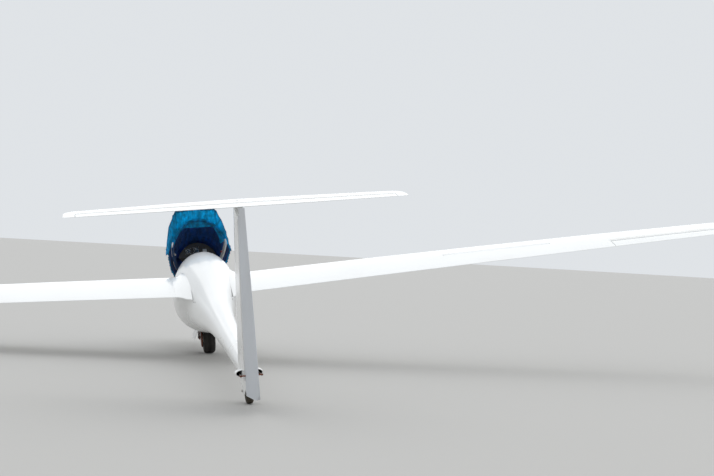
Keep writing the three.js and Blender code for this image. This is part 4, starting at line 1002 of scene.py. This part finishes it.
def curtain_spot(u, v):
    degrees, x, z = between(CURTAIN_EDGE, u)
    angle = math.radians(degrees)
    out = Vector((math.sin(angle), 0, math.cos(angle)))
    middle = Vector((0, CURTAIN_Y, AXIS_HEIGHT))
    reach = round_section("canopy_frame", CURTAIN_Y, angle)
    if reach is None or reach > FURTHEST:
        return None
    start = middle + out * (reach - INSIDE_FRAME)
    edge = Vector((x, CURTAIN_Y, z))
    if (edge - middle).length > (start - middle).length - LEAST_DEPTH:
        edge = start - out * LEAST_DEPTH
    pleat = 1 - abs(noise.noise(Vector((angle * 13, v * 1.2, 80))))
    return start.lerp(edge, v) + Vector((0, 0.012 * pleat**4 * v, 0))


curtain = sewn("canopy_cover_curtain", laid(14, 170, curtain_spot, 0.0008), cover_cloth)

# Cover rail flap: a loose strip of the navy lining, folded round the underside of the frame's
# left rail and a little way up its inner face.
RAIL_REAR, RAIL_LONG = 0.36, 0.96
RAIL_FOLD, RAIL_RISE = 0.4, 0.7


def rail_spot(u, v):
    y = RAIL_REAR + RAIL_LONG * u
    sill = 0.772 - 0.042 * min(1, max(0, y - 0.42) / 0.6)
    high = sill + 0.012 + 0.045 * max(0, v - RAIL_FOLD)
    found = touch("canopy_frame", (0, y, high), (-1, 0, 0), raised)
    if found is None:
        return None
    slack = 0.003 * abs(noise.noise(Vector((y * 14, v * 2, 60))))
    if v > RAIL_FOLD:
        return found[0] + Vector((0.003 + slack, 0, 0.022 * max(0, v - RAIL_RISE) / 0.3))
    below = found[0] - Vector((0.02 * (1 - v / RAIL_FOLD) + 0.001, 0, 0.2))
    under = touch("canopy_frame", below, (0, 0, 1), raised)
    return None if under is None else under[0] + Vector((0.004 * v / RAIL_FOLD, 0, -0.0022))


rail = sewn("canopy_cover_rail_flap", laid(10, 90, rail_spot, 0.0008), navy_cloth)

# Canopy fittings: a flat latch lever with a moulded knob on each side of the frame, and the two
# clear rails of the small sliding window, glued to the inside of the glass.


def plastic(name, colour, amount=0.15, gloss=0.3):
    return weathered(name, colour, amount=amount, gloss=gloss, grain=120, bump=0.02)


def on_canopy(name, mesh, paint):
    return add_piece(name, mesh, "canopy", paint, place=raised)


red_plastic = plastic("red_plastic", (0.5, 0.02, 0.015))
white_plastic = plastic("white_plastic", (0.8, 0.8, 0.78), amount=0.2, gloss=0.35)
KNOB = [
    (0, 0), (0, 0.004), (0.006, 0.0042), (0.009, 0.0085), (0.016, 0.0105), (0.024, 0.0095), (0.029, 0.005),
    (0.03, 0)]
LATCH_Y, LATCH_Z = 0.62, 0.775
for word, side, paint in (("left", -1, white_plastic), ("right", 1, red_plastic)):
    at = touch("canopy_frame", (0, LATCH_Y, LATCH_Z), (side, 0, 0), raised)[0]
    bends = ((0.004, 0.0, 0), (0.016, 0.004, 0), (0.02, 0.03, 0.002))
    latch = joined([
        block((0.003, 0.05, 0.016), at + Vector((-side * 0.0045, 0, 0)), 0.001),
        rod([at + Vector((-side * x, y, z)) for x, y, z in bends], 0.0035),
    ])
    on_canopy(f"latch_{word}", latch, bare_aluminium)
    knob_at = at + Vector((-side * 0.02, 0.028, 0.002))
    on_canopy(f"latch_knob_{word}", turned(KNOB, knob_at, (0, 1, 0), 24), paint)
WINDOW_REAR, WINDOW_STEP = 0.72, 0.028
window_rails = []
for high in (0.785, 0.885):
    line = []
    for k in range(9):
        found = touch("canopy_glass", (0, WINDOW_REAR + WINDOW_STEP * k, high), (-1, 0, 0), raised)
        if found:
            line.append(found[0] + Vector((0.0035, 0, 0)))
    window_rails.append(rod(line, 0.003))
on_canopy("sliding_window_rails", joined(window_rails), acrylic)

# Instrument panel: a black plate on two arms, under a shroud, with round dials and a glide computer.
# It goes up with the canopy.
black_trim = weathered(
    "black_trim", (0.02, 0.02, 0.022), dust=(0.1, 0.1, 0.1), amount=0.3, gloss=0.5, grain=140, bump=0.1)
for node in ("panel_shroud", "instrument_panel", "glide_computer", "control_stick"):
    smoothed(node, node + "_black", black_trim)
dial_black = weathered(
    "dial_black", (0.012, 0.012, 0.014), amount=0.1, gloss=0.2, grain=200, bump=0.01, coat=1.0)
dial_pale = weathered(
    "dial_pale", (0.55, 0.56, 0.55), dust=(0.3, 0.3, 0.3), amount=0.2, gloss=0.25, grain=200, bump=0.01,
    coat=1.0)
mark_white = weathered("mark_white", (0.8, 0.8, 0.78), amount=0.1, gloss=0.4, grain=200, bump=0.01)
screen_grey = weathered(
    "screen_grey", (0.42, 0.44, 0.44), dust=(0.14, 0.15, 0.15), amount=0.3, gloss=0.15, grain=200, bump=0.0,
    coat=1.0)
PANEL_FACE = 0.845
OUT_OF_PANEL = (0, -1, 0)
SCREW = [(0, 0), (0, 0.0028), (0.0012, 0.0024), (0.0014, 0)]
to_pilot = Matrix.Rotation(math.pi / 2, 4, "X")


def number_mesh(text, size, place):
    # A figure on a dial, facing the pilot
    curve = bpy.data.curves.new("figure", "FONT")
    curve.body = text
    curve.size = size
    curve.align_x = curve.align_y = "CENTER"
    curve.extrude = 0.0001
    curve.resolution_u = 2
    holder = bpy.data.objects.new("figure", curve)
    mesh = bmesh.new()
    mesh.from_mesh(holder.to_mesh())
    holder.to_mesh_clear()
    bpy.data.objects.remove(holder)
    bpy.data.curves.remove(curve)
    mesh.transform(Matrix.Translation(place) @ to_pilot)
    return mesh


def dial_angle(share):
    # The scale runs clockwise from lower left, over the top, to lower right
    return math.radians(220 - 260 * share)


def dial(name, x, z, radius, ticks, needle, face=dial_black, mark=mark_white, figures=()):
    front = PANEL_FACE - 0.004
    centre = (x, PANEL_FACE, z)
    bezel = [
        (-0.002, radius * 0.86), (0.004, radius * 0.86), (0.0065, radius * 0.9), (0.0065, radius * 0.96),
        (0.004, radius), (-0.002, radius)]
    ring = turned(bezel, centre, OUT_OF_PANEL, 48, closed=True)
    on_canopy(name + "_bezel", ring, black_trim)
    plate = [(-0.001, 0), (0.0022, 0), (0.0022, radius * 0.87), (-0.001, radius * 0.87)]
    on_canopy(name + "_face", turned(plate, centre, OUT_OF_PANEL, 40), face)
    parts = []
    for k in range(ticks):
        angle = dial_angle(k / (ticks - 1))
        way = Vector((math.cos(angle), 0, math.sin(angle)))
        long = radius * (0.16 if k % 5 == 0 else 0.09)
        middle = Vector((x, front + 0.0012, z)) + way * (radius * 0.8 - long / 2)
        parts.append(block((long, 0.0004, radius * 0.022), middle, 0.00005, Matrix.Rotation(-angle, 4, "Y")))
    way = Matrix.Rotation(-math.radians(needle), 4, "Y")
    hand = Vector((x, front + 0.0004, z)) + way @ Vector((radius * 0.24, 0, 0))
    parts.append(block((radius * 0.72, 0.0006, radius * 0.045), hand, 0.0001, way))
    boss = [(0, 0), (0, radius * 0.08), (0.0012, radius * 0.08), (0.0016, 0)]
    parts.append(turned(boss, (x, front + 0.001, z), OUT_OF_PANEL, 16))
    for text, share in figures:
        angle = dial_angle(share)
        reach = radius * 0.54
        place = (x + reach * math.cos(angle), front + 0.0012, z + reach * math.sin(angle))
        parts.append(number_mesh(text, radius * 0.26, place))
    on_canopy(name + "_marks", joined(parts), mark)
    for dx, dz in ((-1, -1), (-1, 1), (1, -1), (1, 1)):
        corner = (x + dx * radius * 0.8, PANEL_FACE, z + dz * radius * 0.8)
        screw_name = f"{name}_screw_{dx}_{dz}".replace("-", "m")
        on_canopy(screw_name, turned(SCREW, corner, OUT_OF_PANEL, 12), bare_aluminium)


dial("airspeed", -0.105, 0.862, 0.038, 21, 215, figures=[(str(40 * k), k / 6) for k in range(1, 6)])
dial("altimeter", -0.012, 0.872, 0.038, 26, 100, figures=[(str(k), k / 10) for k in range(0, 10, 2)])
dial(
    "variometer", -0.062, 0.7, 0.038, 21, 180, face=dial_pale, mark=dial_black,
    figures=[("5", 0.1), ("0", 0.5), ("5", 0.9)])
dial("second_variometer", 0.022, 0.79, 0.028, 21, 180, face=dial_pale, mark=dial_black)
dial("slip_ball", 0.075, 0.72, 0.028, 11, 90)

# Radio, glide computer's front and switches: moulded cases with screens, rubber buttons and turned
# knobs, and a row of toggle switches along the foot of the panel.
RADIO_X, RADIO_Z = 0.035, 0.65
LARGE_KNOB = [(0, 0), (0, 0.009), (0.012, 0.008), (0.013, 0)]
SMALL_KNOB = [(0, 0), (0, 0.007), (0.012, 0.006), (0.013, 0)]
radio = joined([
    block((0.058, 0.008, 0.058), (RADIO_X, PANEL_FACE - 0.003, RADIO_Z), 0.0015),
    turned(LARGE_KNOB, (0.05, PANEL_FACE - 0.006, 0.636), OUT_OF_PANEL, 24),
    turned(SMALL_KNOB, (0.02, PANEL_FACE - 0.006, 0.636), OUT_OF_PANEL, 24),
])
on_canopy("radio", radio, black_trim)
radio_screen = block((0.044, 0.001, 0.018), (RADIO_X, PANEL_FACE - 0.0072, RADIO_Z + 0.014), 0.0003)
on_canopy("radio_screen", radio_screen, screen_grey)
computer_screen = block((0.044, 0.0012, 0.052), (0.084, 0.8107, 0.839), 0.0004)
on_canopy("computer_screen", computer_screen, screen_grey)
COMPUTER_KNOB = [(0, 0), (0, 0.0075), (0.009, 0.0068), (0.01, 0.005), (0.01, 0)]
buttons = [block((0.011, 0.003, 0.007), (0.122, 0.8102, 0.815 + 0.017 * k), 0.001) for k in range(4)]
buttons += [turned(COMPUTER_KNOB, (0.07 + 0.03 * k, 0.811, 0.8765), OUT_OF_PANEL, 20) for k in range(2)]
on_canopy("computer_buttons", joined(buttons), dark_rubber)
SWITCH_NUT = [(0, 0), (0, 0.005), (0.003, 0.005), (0.003, 0.0035), (0.005, 0)]
SWITCH_Z = 0.626
switches = []
for k in range(5):
    x = -0.1 + 0.022 * k
    switches.append(turned(SWITCH_NUT, (x, PANEL_FACE, SWITCH_Z), OUT_OF_PANEL, 6))
    toggle = [(x, PANEL_FACE - 0.003, SWITCH_Z), (x, PANEL_FACE - 0.014, SWITCH_Z + 0.006)]
    switches.append(rod(toggle, 0.0016, 2))
on_canopy("panel_switches", joined(switches), bare_aluminium)

# Seat and headrest: grey cloth cushions on a glass-fibre pan. The cushions are stuffed and sewn
# in channels and lie loose on the pan, and the headrest is a black pad.
seat_cloth = weathered(
    "seat_cloth", (0.17, 0.185, 0.21), dust=(0.3, 0.28, 0.25), amount=0.25, gloss=0.9, grain=520, bump=0.35)
smoothed("seat_pan", "seat_pan_shell", seat_cloth)
SWELL_FRAMES, SWELL_PRESSURE, MOST_SWELL = 20, 4, 0.006


def apply_modifiers(piece):
    shaped = piece.evaluated_get(bpy.context.evaluated_depsgraph_get())
    data = bpy.data.meshes.new_from_object(shaped)
    piece.modifiers.clear()
    old = piece.data
    piece.data = data
    bpy.data.meshes.remove(old)


def stuffed(name, mesh, paint, voxel=0.006):
    # Closed cloth blown up a little by its stuffing, no point moving further than MOST_SWELL
    piece = add_piece(name, mesh, "airframe", paint, sharp=math.radians(70))
    remesh = piece.modifiers.new("even_mesh", "REMESH")
    remesh.mode = "VOXEL"
    remesh.voxel_size = voxel
    remesh.use_smooth_shade = True
    apply_modifiers(piece)
    before = [v.co.copy() for v in piece.data.vertices]
    swell = piece.modifiers.new("stuffing", "CLOTH")
    swell.settings.use_pressure = True
    swell.settings.uniform_pressure_force = SWELL_PRESSURE
    swell.settings.effector_weights.gravity = 0
    for number in range(1, SWELL_FRAMES + 1):
        bpy.context.scene.frame_set(number)
    apply_modifiers(piece)
    bpy.context.scene.frame_set(1)
    for vert, start in zip(piece.data.vertices, before):
        moved = vert.co - start
        if moved.length > MOST_SWELL:
            vert.co = start + moved * (MOST_SWELL / moved.length)
    finer = piece.modifiers.new("finer", "SUBSURF")
    finer.levels = finer.render_levels = 1
    return piece


def pad_on_pan(y_rear, y_front, half, thick, channels):
    # A pad laid on the seat pan, pulled in at its edges and along its sewn channels
    mesh = bmesh.new()
    bmesh.ops.create_grid(mesh, x_segments=36, y_segments=30, size=0.5)
    where = {}
    for vert in mesh.verts:
        u, v = where[vert] = (vert.co.x + 0.5, vert.co.y + 0.5)
        above = (half * (2 * u - 1), y_rear + (y_front - y_rear) * v, 1.2)
        pan, outwards = touch("seat_pan", above, (0, 0, -1))
        vert.co = pan + outwards * 0.003
    bmesh.ops.recalc_face_normals(mesh, faces=mesh.faces)
    if sum(face.normal.z for face in mesh.faces) < 0:
        bmesh.ops.reverse_faces(mesh, faces=mesh.faces)
    lifts = {v: v.normal.copy() for v in mesh.verts}
    grown = bmesh.ops.extrude_face_region(mesh, geom=mesh.faces[:], use_keep_orig=True)
    tops = [v for v in grown["geom"] if isinstance(v, bmesh.types.BMVert)]
    lower = {tuple(round(c, 7) for c in v.co): v for v in where}
    for vert in tops:
        below = lower[tuple(round(c, 7) for c in vert.co)]
        u, v = where[below]
        edge = min(u, 1 - u, v, 1 - v)
        crown = min(1, edge / 0.09) ** 0.5
        sewn_down = 1 - 0.45 * max(math.exp(-(((v - c) / 0.022) ** 2)) for c in channels)
        vert.co = below.co + lifts[below] * (0.004 + thick * crown * sewn_down)
    return mesh


seat_pad = pad_on_pan(y_rear=0.74, y_front=1.06, half=0.19, thick=0.026, channels=(0.2, 0.4, 0.6, 0.8))
stuffed("seat_cushion", seat_pad, seat_cloth)
back_pad = pad_on_pan(y_rear=0.42, y_front=0.71, half=0.18, thick=0.022, channels=(0.25, 0.5, 0.75))
stuffed("back_cushion", back_pad, seat_cloth)
head_pad = block((0.13, 0.04, 0.098), (0, 0.37, 0.9065), 0.012)
bmesh.ops.subdivide_edges(head_pad, edges=head_pad.edges[:], cuts=2, use_grid_fill=True)
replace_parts(stuffed("headrest_pad", head_pad, black_trim, voxel=0.005), "headrest")

# Harness: navy webbing from behind the seat and from both of its sides, which meets at a turned
# aluminium buckle over the pilot's lap. It lies loose on the cushions.
webbing = weathered(
    "webbing", (0.05, 0.07, 0.16), dust=(0.12, 0.12, 0.16), amount=0.3, gloss=0.85, grain=900, bump=0.4)
WEBBING_WIDTH, OVER_CUSHION = 0.044, 0.036
BUCKLE_AT = Vector((0, 0.79, 0.437))


def strap(name, line):
    # Flat webbing along a line of points, its width across the line and level
    def spot(u, v):
        t = v * (len(line) - 1)
        k = min(int(t), len(line) - 2)
        start, end = Vector(line[k]), Vector(line[k + 1])
        steep = abs((end - start).normalized().z) >= 0.9
        across = (end - start).cross(Vector((0, 1, 0)) if steep else Vector((0, 0, 1))).normalized()
        point = start.lerp(end, t - k) + across * WEBBING_WIDTH * (u - 0.5)
        found = touch("seat_pan", point + Vector((0, 0, 0.3)), (0, 0, -1))
        if found and found[0].z + OVER_CUSHION > point.z:
            point.z = found[0].z + OVER_CUSHION
        return point

    add_piece(name, laid(40, 4, spot, 0.0018), "airframe", webbing)


SHOULDER_LINE = ((0.1, 0.4, 0.83), (0.1, 0.5, 0.68), (0.07, 0.62, 0.55), (0.02, 0.77, 0.44))
LAP_LINE = ((0.235, 0.7, 0.47), (0.15, 0.74, 0.46), (0.03, 0.79, 0.44))
for word, side in SIDES:
    strap(f"shoulder_strap_{word}", [(side * x, y, z) for x, y, z in SHOULDER_LINE])
    strap(f"lap_strap_{word}", [(side * x, y, z) for x, y, z in LAP_LINE])
BUCKLE = [
    (-0.008, 0), (-0.008, 0.026), (-0.005, 0.03), (0.004, 0.03), (0.009, 0.026), (0.009, 0.012),
    (0.014, 0.01), (0.014, 0)]
buckle_bar = Matrix.Rotation(0.35, 4, "X")
buckle = joined([
    turned(BUCKLE, BUCKLE_AT, (0, 0.35, 0.94), 36),
    block((0.05, 0.012, 0.006), BUCKLE_AT + Vector((0, 0.006, 0.014)), 0.002, buckle_bar),
])
add_piece("harness_buckle", buckle, "airframe", bare_aluminium)

# Controls: a rubber grip and a pleated boot on the steel stick, and flat aluminium levers with
# coloured plastic knobs, bolted along the cockpit's left wall. The pedals and hooks are bare metal.
GRIP = [
    (0, 0), (0, 0.013), (0.008, 0.0165), (0.03, 0.0172), (0.05, 0.0152), (0.07, 0.0168), (0.095, 0.0175),
    (0.112, 0.0145), (0.118, 0.006), (0.119, 0)]
BOOT = [
    (0, 0.05), (0.006, 0.05), (0.012, 0.042), (0.02, 0.044), (0.028, 0.033), (0.036, 0.034), (0.045, 0.022),
    (0.055, 0.017), (0.06, 0.0135), (0.06, 0.012), (0, 0.045)]
stick_foot, stick_head = Vector((0, 0.985, 0.3718)), Vector((0, 0.94, 0.6))
stick_way = (stick_head - stick_foot).normalized()
grip = turned(GRIP, stick_head - stick_way * 0.108, stick_way, 28)
add_piece("stick_grip", grip, "airframe", dark_rubber)
boot = turned(BOOT, stick_foot - stick_way * 0.006, stick_way, 32, closed=True)
add_piece("stick_boot", boot, "airframe", dark_rubber)
LEVER_BENDS = ((0.002, 0, 0), (0.024, 0, 0.004), (0.036, -0.03, 0.008))
for name, y, z, paint in (
    ("airbrake_lever", 0.98, 0.6, plastic("blue_plastic", (0.01, 0.06, 0.4))),
    ("trim_lever", 1.08, 0.52, plastic("green_plastic", (0.01, 0.25, 0.05))),
    ("tow_release", 1.22, 0.58, plastic("yellow_plastic", (0.7, 0.45, 0.01))),
):
    at = touch("fuselage", (0, y, z), (-1, 0, 0))[0]
    arm = joined([
        block((0.004, 0.16, 0.022), at + Vector((0.002, 0, 0)), 0.0015),
        rod([at + Vector(bend) for bend in LEVER_BENDS], 0.0045),
    ])
    add_piece(name, arm, "airframe", bare_aluminium)
    knob = turned(KNOB, at + Vector((0.036, -0.026, 0.008)), (0, -1, 0), 24)
    add_piece(name + "_knob", knob, "airframe", paint)
for node in ("canopy_hinge_arm", "canopy_hinge_lug", "rudder_pedals", "nose_tow_hook", "belly_tow_hook"):
    smoothed(node, node + "_metal", bare_aluminium)
